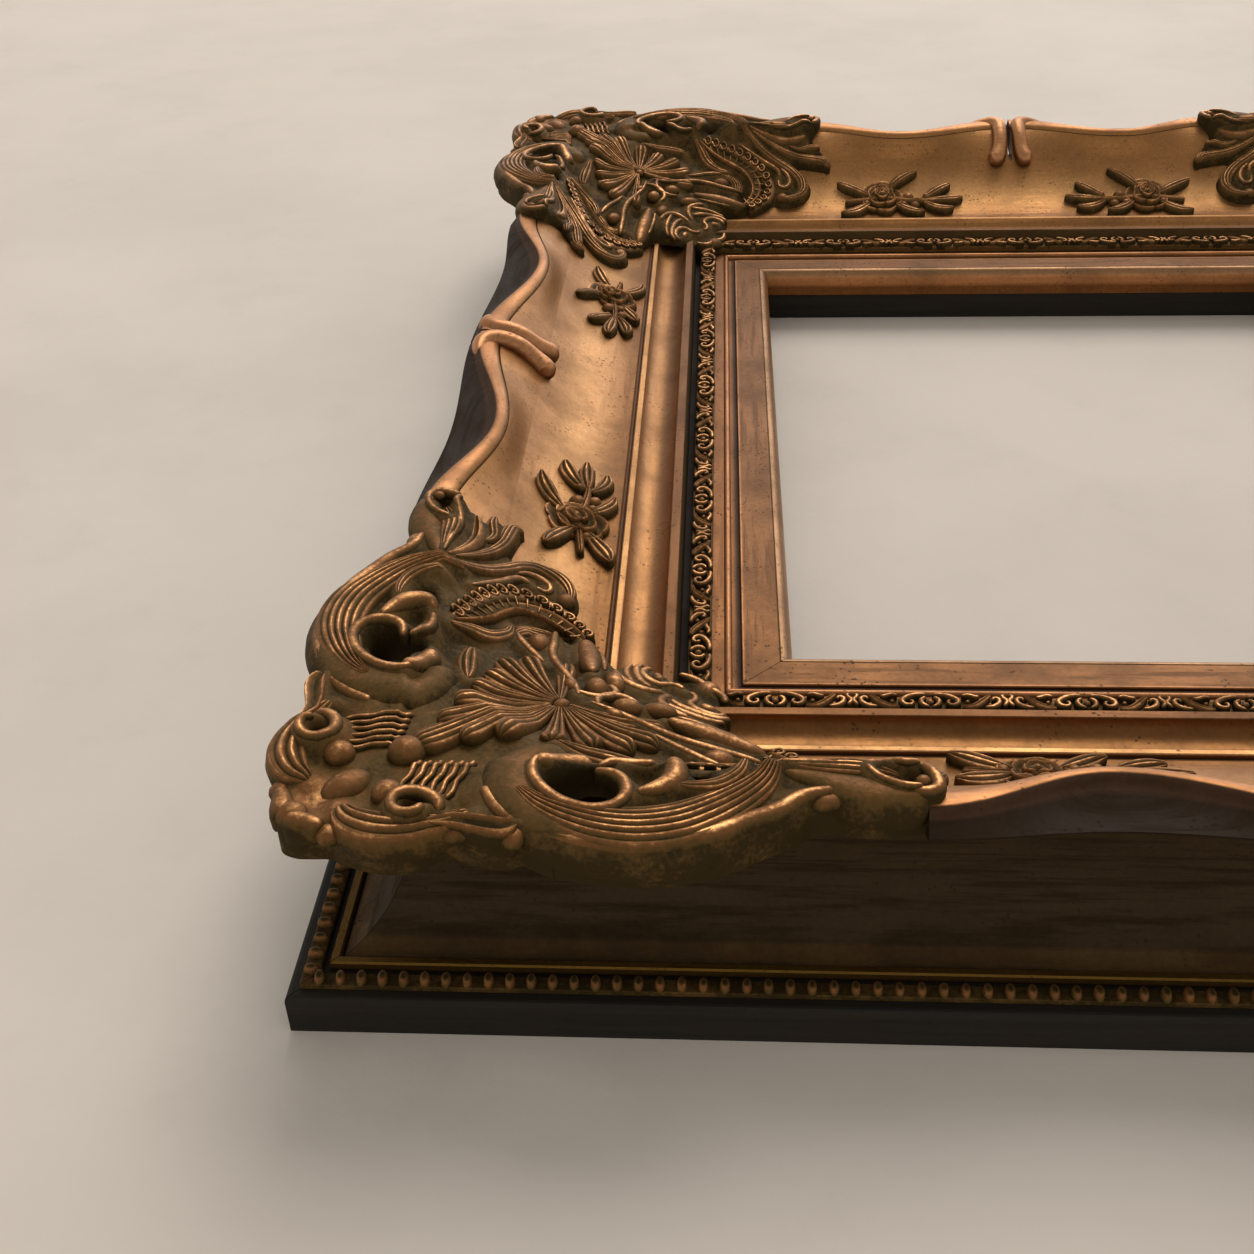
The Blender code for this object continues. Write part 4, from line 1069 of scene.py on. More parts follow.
        lay([(1.5, 4.6, 1.2), (5.0, 4.7, 1.3), (9.0, 3.6, 1.5), (12.5, 0.8, 1.6),
             (12.0, -2.2, 1.4), (9.2, -3.2, 1.1), (7.6, -1.2, 0.9), (9.2, 0.2, 0.9)])
        lay([(0.8, -4.6, 0.9), (3.4, -2.6, 1.3), (4.0, 0.6, 1.4), (1.6, 2.6, 1.0)])
        lay([(14.0, -4.4, 1.0), (18.0, -3.6, 1.7), (22.0, -0.8, 2.1), (25.0, 2.2, 1.8),
             (27.6, 4.4, 0.9)], Relief.LEAF)
        lay([(14.5, 3.6, 0.8), (17.5, 4.4, 1.2), (20.6, 3.0, 1.2), (22.4, 3.4, 0.9)])
        lay([(24.0, -4.6, 0.9), (27.4, -4.0, 1.4), (30.6, -1.6, 1.6), (31.0, 1.6, 1.4),
             (28.8, 2.2, 1.0), (28.2, 0.4, 0.8)])
        lay([(33.8, 4.6, 0.9), (32.6, 3.0, 1.2), (34.6, 0.0, 1.3), (32.8, -3.4, 1.1)])
        carver.ball(0.0, mid - 0.6, 1.7)
        for sign in (1.0, -1.0):
            carver.ball(sign * 17.0, mid + 0.6, 1.1, lift=-1.0)
            carver.ball(sign * 26.8, mid - 1.4, 1.2, lift=-1.2)
            carver.ball(sign * 34.9, mid, 1.5, 1.3, 90.0)
        return new_object("motif", carver.draft.mesh(Matrix.Identity(4), "wear"))

    def build(self) -> None:
        """Run both ornaments round the frame."""
        bead_tree, band_tree = self.bead_tree(), self.band_tree()
        motif = self.motif()
        for side in Side:
            middle = (self.beads_in + self.beads_out) / 2.0
            length = side.length + 2.0 * middle - self.bead_pitch
            count = int(round(length / self.bead_pitch)) + 1
            width = self.beads_out - self.beads_in
            strip = self.strip(self.beads_in, self.beads_out, self.bead_floor,
                               self.bead_floor + 2.0, side, 0.12)
            mesh = grown(strip, bead_tree, {
                "Count": count, "Pitch": length / (count - 1), "Length": 4.3,
                "Width": width * 1.04, "Height": 11.0, "Out": middle,
                "Floor": self.bead_floor + 0.9, "Seed": SEED, "Material": self.material})
            mesh.transform(side.place)
            dress(mesh, f"bead_row_{side.label}", self.material)
            middle = (self.band_in + self.band_out) / 2.0
            length = side.length + 2.0 * middle
            count = int(round(length / self.band_pitch))
            strip = self.strip(self.band_in, self.band_out, self.band_floor,
                               self.band_floor + 3.6, side, 0.36)
            mesh = grown(strip, band_tree, {
                "Motif": motif, "Count": count, "Pitch": length / count,
                "Stretch": length / count / self.band_pitch, "Material": self.material})
            mesh.transform(side.place)
            dress(mesh, f"carved_band_{side.label}", self.material)
        bpy.data.objects.remove(motif, do_unlink=True)


# Crests


@dataclass
class Crest:
    """The swept rim: two lengths to a side, each ending in a scroll at the break."""

    moulding: Moulding
    gilt: bpy.types.Material
    ridge_dip: float = 154.5
    ridge_swell: float = 177.0
    ridge_lift: float = 2.0
    edge_dip: float = 180.0
    edge_swell: float = 185.5
    edge_height: float = 91.0
    dip_place: float = 0.45
    roll_dip: float = 6.0
    roll_swell: float = 11.5
    roll_height: float = 4.4
    lip: float = 3.6
    reach: float = 39.0
    half_break: float = 1.5

    def swell(self, share: float) -> float:
        """How far the rim has swept out, 0 at the dip and 1 at either end."""
        if share < self.dip_place:
            place = (self.dip_place - share) / self.dip_place
        else:
            place = (share - self.dip_place) / (1.0 - self.dip_place)
        return 0.5 - 0.5 * math.cos(math.pi * min(1.0, place))

    def section(self, share: float) -> Section:
        """Closed section of the rim at a share of its length from the corner."""
        out = self.swell(share)
        ridge = self.ridge_dip + (self.ridge_swell - self.ridge_dip) * out
        edge = self.edge_dip + (self.edge_swell - self.edge_dip) * out
        top = self.moulding.crest_height + self.ridge_lift * out
        foot = self.moulding.seat[0]
        seat = float(self.moulding.panel_height(foot)) + GAP
        tone = self.moulding.streaked
        old = tone(self.moulding.old_gold, 0.2)
        bright, brown = tone(screen(172, 118, 74), 0.15), tone(screen(66, 44, 28), 0.35)
        dark, crease_shade = tone(screen(44, 31, 19), 0.7), tone(screen(48, 34, 16), 0.2)
        roll = self.roll_dip + (self.roll_swell - self.roll_dip) * out
        run, rise = ridge - roll - foot, top - self.roll_height - seat
        points: Section = [(foot - 0.8, seat - 1.3, old)]
        for step in np.linspace(0.0, 1.0, 9):
            lift = (step ** 3 - 2 * step ** 2 + step) * run * 0.95
            lift += (3 * step ** 2 - 2 * step ** 3) * rise
            lift += (step ** 3 - step ** 2) * run * (1.3 - 0.9 * out)
            points.append((foot + run * step, seat - 0.28 * (1.0 - step) + lift, old))
        # Painted shade in the crease at the foot of the roll.
        points.append((ridge - roll + 0.7, top - self.roll_height - 0.5 * out, crease_shade))
        for angle in np.linspace(165.0, 20.0, 10):
            turn = math.radians(angle)
            half = roll - 0.9 if angle > 90.0 else self.lip
            points.append((ridge + half * math.cos(turn),
                           top - self.roll_height * (1.0 - math.sin(turn)),
                           old if angle > 140.0 else bright if angle > 80.0 else brown))
        begin, end = points[-1][:2], (edge, self.edge_height - 0.6)
        for step in np.linspace(0.12, 1.0, 8):
            sag = 1.6 * (1.0 - out) * math.sin(math.pi * step)
            points.append((begin[0] + (end[0] - begin[0]) * step,
                           begin[1] + (end[1] - begin[1]) * step - sag,
                           brown if step < 0.2 else dark))
        points += [(edge - 0.6, self.edge_height - 1.8, dark), (edge - 2.4, 87.4, dark),
                   (166.0, seat + 3.0, dark), (157.5, seat, dark)]
        return points

    def length(self, side: Side) -> float:
        """Length of one rim of a side."""
        return side.length / 2.0 - self.reach - self.half_break

    def mesh(self, side: Side, hand: float) -> bpy.types.Mesh:
        """Rim and scroll of one half of a side, in place."""
        length, last = self.length(side), CREST_STATIONS - 1
        sections = [self.section(step / last) for step in range(CREST_STATIONS)]
        rings = np.array([[(hand * (side.length / 2.0 - self.reach - length * step / last),
                            -out, height) for out, height, _ in section]
                          for step, section in enumerate(sections)])
        tints = np.array([[tint for _, _, tint in section] for section in sections])
        draft = Draft()
        draft.loft(rings, tints)
        top = self.moulding.crest_height + self.ridge_lift
        carver = Carver(lambda x, y: np.zeros_like(x))
        ground = self.moulding.panel_height
        path = [(27.0, 176.0, top - 4.0, 2.4), (18.0, 176.6, top - 3.6, 4.8),
                (10.4, 175.0, top - 3.2, 6.2), (6.4, 169.4, top - 3.0, 6.0),
                (6.0, 162.0, top - 4.3, 5.8)]
        path += [(along, out, float(ground(out)) + lift, radius)
                 for along, out, lift, radius in (
                     (6.2, 154.0, 0.6, 5.8), (7.0, 147.4, 1.6, 6.2), (8.8, 142.0, 2.4, 6.8),
                     (11.4, 138.6, 2.8, 6.8), (14.4, 137.4, 2.6, 5.6))]
        carver.tube([(hand * (self.half_break + along), -out, height, radius)
                     for along, out, height, radius in path])
        # Painted light on the scroll bar: its tint runs from a shaded brown underneath to a lit
        # gold on top.
        lit = np.concatenate(carver.draft.values)[:, None]
        low, high = np.array(screen(86, 58, 36)), np.array(screen(190, 134, 90))
        shades = low + (high - low) * lit
        shades[:, 3] = 0.2
        draft.add(np.concatenate(carver.draft.points), carver.draft.faces, shades)
        mesh = draft.mesh(side.place, "tint", sharp=50.0)
        run_map(mesh, side)
        return mesh

    def build(self) -> None:
        """Set two rims on every side; the CAD's end a is the one at negative X."""
        for side in Side:
            for end, hand in (("a", -1.0), ("b", 1.0)):
                dress(self.mesh(side, hand), f"crest_{side.label}_{end}", self.gilt)


# Sprigs


@dataclass
class Sprig:
    """Rose spray on the panel cove, drawn along the rail from the sight corner and outwards."""

    moulding: Moulding
    material: bpy.types.Material
    lift: float = 5.4

    def carve(self) -> Draft:
        """Carve stem, leaves, buds and rose."""
        surface = self.moulding.panel_height
        carver = Carver(lambda x, y: surface(-np.asarray(y)) + self.lift)
        for points, relief, crown, lobes in SPRIG_STROKES:
            carver.stroke([(along, -out, half) for along, out, half in points], relief, crown,
                          lobes, 1.4, 4.0)
        rose = (93.0, -110.5)
        for ring, (radius, half, raised) in enumerate(((12.0, 5.8, -0.6), (7.6, 4.6, 1.6),
                                                      (3.6, 3.0, 3.4))):
            petals = 5 - ring
            for petal in range(petals):
                middle = 2.0 * math.pi * (petal + 0.35 * ring) / petals
                spread = 0.62 * math.pi * 2.0 / petals
                carver.stroke([(rose[0] + radius * math.cos(middle + turn * spread),
                                rose[1] + radius * math.sin(middle + turn * spread),
                                half * (1.0 - 0.5 * abs(turn)), raised)
                               for turn in (-0.9, -0.5, 0.0, 0.5, 0.9)],
                              Relief.HOLLOW, 4.4, 1, 1.3, 5.0)
        carver.ball(*rose, 2.2, lift=3.2)
        for along, out, radius in ((114.0, 112.0, 4.6), (119.0, 103.0, 4.0), (110.0, 103.6, 3.0),
                                   (81.0, 104.6, 3.0), (128.0, 111.6, 2.6)):
            carver.ball(along, -out, radius)
        return carver.draft

    def build(self) -> None:
        """Lay a spray near each end of every side."""
        draft = self.carve()
        for side in Side:
            for end, hand in (("a", 1.0), ("b", -1.0)):
                shift = (Matrix.Translation((-hand * side.length / 2.0, 0.0, 0.0))
                         @ Matrix.Scale(hand, 4, (1.0, 0.0, 0.0)))
                mesh = draft.mesh(side.place @ shift, "wear", sharp=60.0)
                dress(mesh, f"sprig_{side.label}_{end}", self.material)


# Cartouches


@dataclass
class Cartouche:
    """Pierced corner ornament, drawn in mm along the mitre (x) and across it (y)."""

    moulding: Moulding
    material: bpy.types.Material
    ground_drop: float = 5.4
    under: float = 85.0
    cell: float = 1.15
    bury: float = 0.45
    skirt: float = 3.6
    rim_round: float = 6.0
    # places of rubbed gold: share, along, across, and how far it spreads both ways
    rubbed: tuple[tuple[float, float, float, float, float], ...] = (
        (0.58, 254.0, 0.0, 10.0, 16.0), (0.2, 222.0, 20.0, 24.0, 18.0))
    comb_lines: int = 6
    grid: tuple[float, float, float] = (48.0, 278.0, 160.0)
    swell_reach: float = 16.0
    shell_focus: float = 142.0
    # rim of one half: along and across the mitre
    outline: tuple[tuple[float, float], ...] = (
        (52.0, 0.0), (55.0, 8.0), (63.0, 14.0), (68.5, 26.0), (77.0, 31.0), (84.0, 36.0),
        (85.0, 42.0), (80.0, 50.0), (77.5, 58.0), (76.0, 66.0), (72.5, 72.0), (70.0, 80.0),
        (64.0, 82.0), (57.5, 89.0), (54.5, 98.0), (55.5, 107.0), (60.5, 113.6), (70.0, 113.6),
        (79.0, 112.5), (74.0, 119.0), (67.4, 124.0), (61.4, 127.8), (60.0, 130.6),
        (63.6, 134.0), (70.5, 134.6), (78.0, 131.8), (82.5, 133.0), (83.0, 138.5),
        (86.5, 148.0), (92.0, 155.0), (95.0, 156.0), (100.6, 150.5), (106.6, 147.3),
        (111.0, 143.9), (114.8, 139.8), (118.0, 135.4), (121.0, 130.6), (126.4, 125.0),
        (133.9, 124.8), (139.9, 124.1), (150.0, 121.4), (160.1, 119.6), (170.2, 115.8),
        (180.4, 110.6), (190.5, 103.0), (200.6, 90.6), (210.7, 76.2), (213.2, 64.0),
        (218.2, 63.8), (222.0, 60.0), (224.8, 55.2), (227.4, 50.4), (228.6, 45.8),
        (234.2, 42.6), (239.6, 42.4), (245.2, 40.6), (250.6, 36.1), (255.0, 30.2),
        (257.8, 24.7), (260.2, 20.0), (260.9, 14.6), (266.0, 10.0), (270.2, 5.8),
        (272.6, 0.0))
    # rims of one half's holes
    holes: tuple[tuple[tuple[float, float], ...], ...] = (
        ((166.5, 55.5), (170.0, 61.5), (171.5, 67.0), (174.0, 72.5), (180.0, 74.6),
         (186.6, 70.0), (191.2, 63.4), (192.6, 53.0), (189.6, 48.6), (182.0, 50.4),
         (174.0, 51.4)),
        ((141.4, 85.5), (145.5, 89.6), (147.6, 82.5), (149.6, 77.0), (144.2, 79.6)))
    # hollows of one half: along, across, radius, depth
    dents: tuple[tuple[float, float, float, float], ...] = (
        (89.0, 67.0, 5.0, 6.0), (118.0, 8.0, 4.5, 5.0), (234.0, 30.4, 3.4, 6.0),
        (94.0, 144.0, 5.0, 5.0), (160.0, 72.0, 6.0, 4.0), (106.0, 33.0, 6.0, 4.0),
        (222.0, 38.0, 5.0, 3.0))

    def crest_height(self, a: np.ndarray, b: np.ndarray) -> np.ndarray:
        """Height of the carving's crests along and across the mitre."""
        a, b = np.asarray(a, dtype=float), np.abs(np.asarray(b, dtype=float))
        out = (a + b) / math.sqrt(2.0)
        panel = self.moulding.panel_height(out) + 8.0
        panel = panel + (52.0 - panel) * (1.0 - eased((out - 86.0) / 8.0))
        panel = panel + (46.5 - panel) * (1.0 - eased((out - 52.0) / 8.0))
        ramp = np.interp(a, (40, 57, 80, 95, 108, 138, 160, 175, 200, 236, 260, 285),
                         (44, 50, 58, 66, 72, 85, 92, 101, 103, 106, 103, 96))
        return np.minimum(np.maximum(panel, ramp), 106.0)

    def floor_height(self, a: np.ndarray, b: np.ndarray) -> np.ndarray:
        """Underside of the ornament: just in the moulding, then free under the overhang."""
        out = (np.asarray(a) + np.abs(np.asarray(b))) / math.sqrt(2.0)
        low = np.interp(out, (36.0, 39.0, 50.0, 54.0, 56.0, 86.0, 89.0),
                        (38.5, 38.5, 38.5, 38.0, 48.5, 48.5, 47.5))
        inner = np.where(out < 89.0, low, self.moulding.panel_height(out) - 1.0)
        return np.where(out > 158.3, self.under, np.minimum(inner, self.under - 1.0))

    def swelling(self, a: np.ndarray, b: np.ndarray) -> np.ndarray:
        """How far the ground rises towards the carving that grows out of it."""
        rise = np.zeros_like(a)
        for path, _, crown, _ in CORNER_STROKES:
            rows = np.array([(*row, 0.0)[:4] for row in path], dtype=float)
            for x, y, half, lift in smooth_line(rows, 3.0):
                mass = self.ground_drop + lift - self.bury * min(crown, half * CROWN_SHARE)
                reach = self.swell_reach + half
                near = (np.abs(a - x) < reach) & (np.abs(b - y) < reach)
                away = np.hypot(a[near] - x, b[near] - y) - 0.6 * half
                rise[near] = np.maximum(rise[near], mass * np.exp(
                    -(np.maximum(away, 0.0) / self.skirt) ** 2))
        return rise

    def ground(self, draft: Draft) -> None:
        """Cut the ground plate out of a fine grid, its rim drawn onto the outline."""
        half = list(self.outline)
        loop = np.array(half + [(a, -b) for a, b in reversed(half[1:-1])])
        holes = [np.array(hole) for hole in self.holes]
        holes += [hole * np.array([1.0, -1.0]) for hole in holes]
        loops = [rounded(ring) for ring in (loop, *holes)]
        begin, end, across = self.grid
        xs = np.arange(begin, end, self.cell)
        ys = np.arange(0.5 - round(across / self.cell), across / self.cell) * self.cell
        grid_x, grid_y = np.meshgrid(xs, ys, indexing="ij")
        places = np.stack([grid_x.ravel(), grid_y.ravel()], axis=1)
        inside = inside_loops(places, loops)
        near, distance = nearest_on_loops(places, loops)
        snap = distance < self.cell * 0.72
        places[snap] = near[snap]
        keep = inside | snap
        depth = np.where(snap, 0.0, distance)
        a, b = places[:, 0], np.abs(places[:, 1])
        relief = self.swelling(a, b) - self.ground_drop
        for x, y, radius, deep in self.dents:
            relief -= deep * np.exp(-((a - x) ** 2 + (b - y) ** 2) / radius ** 2)
        spread = blurred(relief.reshape(grid_x.shape), 4).ravel()
        relief = blurred(relief.reshape(grid_x.shape), 1).ravel()
        inward = np.clip(1.0 - depth / self.rim_round, 0.0, 1.0)
        fall = self.rim_round * 0.8 * (1.0 - np.sqrt(1.0 - 0.97 * inward ** 2))
        top = self.crest_height(a, b) + relief - fall
        bottom = np.minimum(self.floor_height(a, b), top - 1.0)
        index = np.arange(len(places)).reshape(grid_x.shape)
        ok = keep.reshape(grid_x.shape)
        faces: list[tuple[int, ...]] = []
        for i in range(len(xs) - 1):
            for j in range(len(ys) - 1):
                corners = [(i, j), (i + 1, j), (i + 1, j + 1), (i, j + 1)]
                held = [index[corner] for corner in corners if ok[corner]]
                if len(held) < 3:
                    continue
                centre = places[held].mean(axis=0)
                if all(snap[held]) and not inside_loops(centre[None], loops)[0]:
                    continue
                faces.append(tuple(int(number) for number in held))
        used = sorted({number for face in faces for number in face})
        renumber = {number: place for place, number in enumerate(used)}
        faces = [tuple(renumber[number] for number in face) for face in faces]
        count = len(used)
        upper = np.column_stack([places[used], top[used]])
        lower = np.column_stack([places[used], bottom[used]])
        edges = {pair for face in faces for pair in zip(face, face[1:] + face[:1])}
        rim = [pair for pair in edges if (pair[1], pair[0]) not in edges]
        shell = list(faces)
        shell += [tuple(number + count for number in reversed(face)) for face in faces]
        shell += [(second, first, first + count, second + count) for first, second in sorted(rim)]
        gold = sum(share * np.exp(-((a - x) / long_) ** 2 - ((b - y) / wide) ** 2)
                   for share, x, y, long_, wide in self.rubbed)
        # Painted shade: places lower than the blurred relief round them, the rounded rim and the
        # underside come out darker, raised places lighter; the rubbed gold patches are real wear.
        wear = np.clip(0.22 + 0.16 * (relief - spread) - 0.2 * inward + gold, 0.04, 0.8)[used]
        draft.add(np.vstack([upper, lower]), shell, np.concatenate([wear, wear * 0.4]))

    def strokes(self, carver: Carver) -> None:
        """Carve one half of the ornament: scrolls, leaves, lobes and balls."""
        for path, relief, crown, lobes in CORNER_STROKES:
            carver.stroke(path, relief, crown, lobes)
        for row in CORNER_BALLS:
            carver.ball(*row)
        for a, b in SCALLOPS:
            ring = [(a + x, b + y, 0.95, 0.5) for x, y in arc((0.0, 0.0), (2.3, 2.3), 0, 330, 8)]
            carver.stroke(ring, ROUND, 2.0, 1, 1.2, 3.0)
            carver.ball(a, b, 1.0, lift=0.3)
            inward = ((108.0 - a) * 0.3, (64.0 - b) * 0.3)
            carver.stroke([(a + inward[0] * share, b + inward[1] * share, 0.95 - 0.4 * share,
                            0.2 - 0.6 * share) for share in (0.35, 0.7, 1.05)], ROUND, 1.8, 1,
                          1.4, 3.0)
        for line in range(self.comb_lines):
            a, b = 199.0 + 3.0 * line, 19.6 - 2.6 * line
            wave = [(a + 4.6 * step, b + 2.7 * step + 0.5 * (-1) ** step, 1.5 - 0.12 * step, -3.4)
                    for step in range(6 - line // 3)]
            carver.stroke(wave, ROUND, 2.6, 1, 1.4)

    def shell(self, carver: Carver) -> None:
        """Carve the ribs of one half of the shell; the middle rib belongs to both halves."""
        focus = np.array([self.shell_focus, 0.0])
        for tip_a, tip_b, half, folds in SHELL_RIBS:
            tip = np.array([tip_a, tip_b])
            path = []
            for share, width, lift in ((0.08, 0.22, -1.0), (0.3, 0.45, -1.6), (0.6, 0.75, -1.2),
                                       (0.85, 1.0, 0.4), (1.0, 0.8, 1.6)):
                place = focus + (tip - focus) * share
                path.append((place[0], place[1], half * width, lift))
            carver.stroke(path, Relief.FOLDED, 5.6, folds, 1.8, 6.0)

    def build(self) -> None:
        """Carve the ornament once and set it on all four corners."""
        carver = Carver(self.crest_height)
        self.strokes(carver)
        self.shell(carver)
        draft = carver.draft
        draft.mirror()
        middle = Carver(self.crest_height)
        middle.stroke([(147.0, 0.0, 1.6, -1.0), (165.0, 0.0, 4.2, -1.2), (185.0, 0.0, 6.4, -0.6),
                       (203.0, 0.0, 7.4, 0.6), (213.0, 0.0, 6.0, 2.0)], Relief.FOLDED, 6.0, 5)
        for along, *rest in MIDDLE_BALLS:
            middle.ball(along, 0.0, *rest)
        draft.take(middle.draft)
        self.ground(draft)
        for corner in Corner:
            mesh = draft.mesh(corner.place, "wear", sharp=55.0)
            dress(mesh, f"cartouche_{corner.label}", self.material)


def eased(share: np.ndarray) -> np.ndarray:
    """Smooth step of a share held between 0 and 1."""
    share = np.clip(share, 0.0, 1.0)
    return share * share * (3.0 - 2.0 * share)


def blurred(grid: np.ndarray, times: int) -> np.ndarray:
    """Smooth a grid of heights, each time over its neighbours on both axes."""
    for _ in range(times):
        for axis in (0, 1):
            grid = 0.5 * grid + 0.25 * (np.roll(grid, 1, axis) + np.roll(grid, -1, axis))
    return grid


def rounded(loop: np.ndarray) -> np.ndarray:
    """Cut a closed poly line's corners twice, so that it runs smoothly."""
    for _ in range(2):
        after = np.roll(loop, -1, axis=0)
        loop = np.stack([0.78 * loop + 0.22 * after, 0.22 * loop + 0.78 * after], axis=1)
        loop = loop.reshape(-1, 2)
    return loop


def inside_loops(places: np.ndarray, loops: Sequence[np.ndarray]) -> np.ndarray:
    """Whether each place is inside the first loop and outside the others."""
    result = np.zeros(len(places), dtype=bool)
    for loop in loops:
        after = np.roll(loop, -1, axis=0)
        for (x0, y0), (x1, y1) in zip(loop, after):
            crosses = (y0 > places[:, 1]) != (y1 > places[:, 1])
            at = x0 + (places[:, 1] - y0) * (x1 - x0) / (y1 - y0 if y1 != y0 else 1e-12)
            result ^= crosses & (places[:, 0] < at)
    return result


def nearest_on_loops(places: np.ndarray, loops: Sequence[np.ndarray]
                     ) -> tuple[np.ndarray, np.ndarray]:
    """Nearest place on any loop, and the distance to it."""
    best = np.full(len(places), np.inf)
    near = np.zeros_like(places)
    for loop in loops:
        after = np.roll(loop, -1, axis=0)
        for first, second in zip(loop, after):
            run = second - first
            share = np.clip(((places - first) @ run) / max(run @ run, 1e-12), 0.0, 1.0)
            point = first + share[:, None] * run
            distance = np.linalg.norm(places - point, axis=1)
            closer = distance < best
            best[closer] = distance[closer]
            near[closer] = point[closer]
    return near, best


ROUND, FOLDED, HOLLOW, LEAF = Relief.ROUND, Relief.FOLDED, Relief.HOLLOW, Relief.LEAF

# Stem and leaves of a sprig: stations (along, out, half width), relief, crown, folds
SPRIG_STROKES = (
    (((64.0, 106.0, 1.8), (80.0, 108.0, 2.4), (96.0, 110.0, 2.8), (112.0, 108.0, 2.6),
      (126.0, 107.0, 2.2), (138.0, 108.0, 1.6)), LEAF, 3.0, 1),
    *((leaf, FOLDED, 3.4, 3) for leaf in (
        ((84.0, 105.0, 2.0), (76.0, 98.6, 5.0), (68.0, 93.4, 5.2), (60.0, 90.6, 1.2)),
        ((84.0, 112.0, 2.0), (75.0, 117.6, 5.0), (66.0, 121.4, 5.0), (58.0, 123.0, 1.2)),
        ((98.0, 118.0, 2.0), (106.0, 125.4, 5.2), (114.0, 129.4, 4.8), (122.0, 131.0, 1.0)),
        ((104.0, 104.0, 2.0), (112.0, 98.4, 4.8), (119.0, 94.2, 4.4), (126.0, 92.0, 1.0)),
        ((126.0, 109.0, 1.8), (133.0, 115.0, 4.8), (141.0, 119.4, 5.2), (148.0, 121.0, 1.6)),
        ((128.0, 107.0, 1.8), (138.0, 108.4, 4.4), (148.0, 109.4, 5.0), (157.0, 109.4, 1.6)),
        ((126.0, 105.0, 1.8), (134.0, 100.4, 4.2), (142.0, 98.0, 4.6), (149.0, 98.0, 1.4)))))

# Ribs of half the shell: tip along and across the mitre, half width, folds
SHELL_RIBS = (
    (112.5, 32.0, 5.0, 3), (127.0, 42.6, 6.2, 3), (141.0, 42.6, 6.2, 3), (154.0, 34.6, 6.0, 3),
    (167.0, 25.6, 6.0, 3), (183.0, 14.8, 5.8, 3), (196.0, 7.8, 5.0, 3))

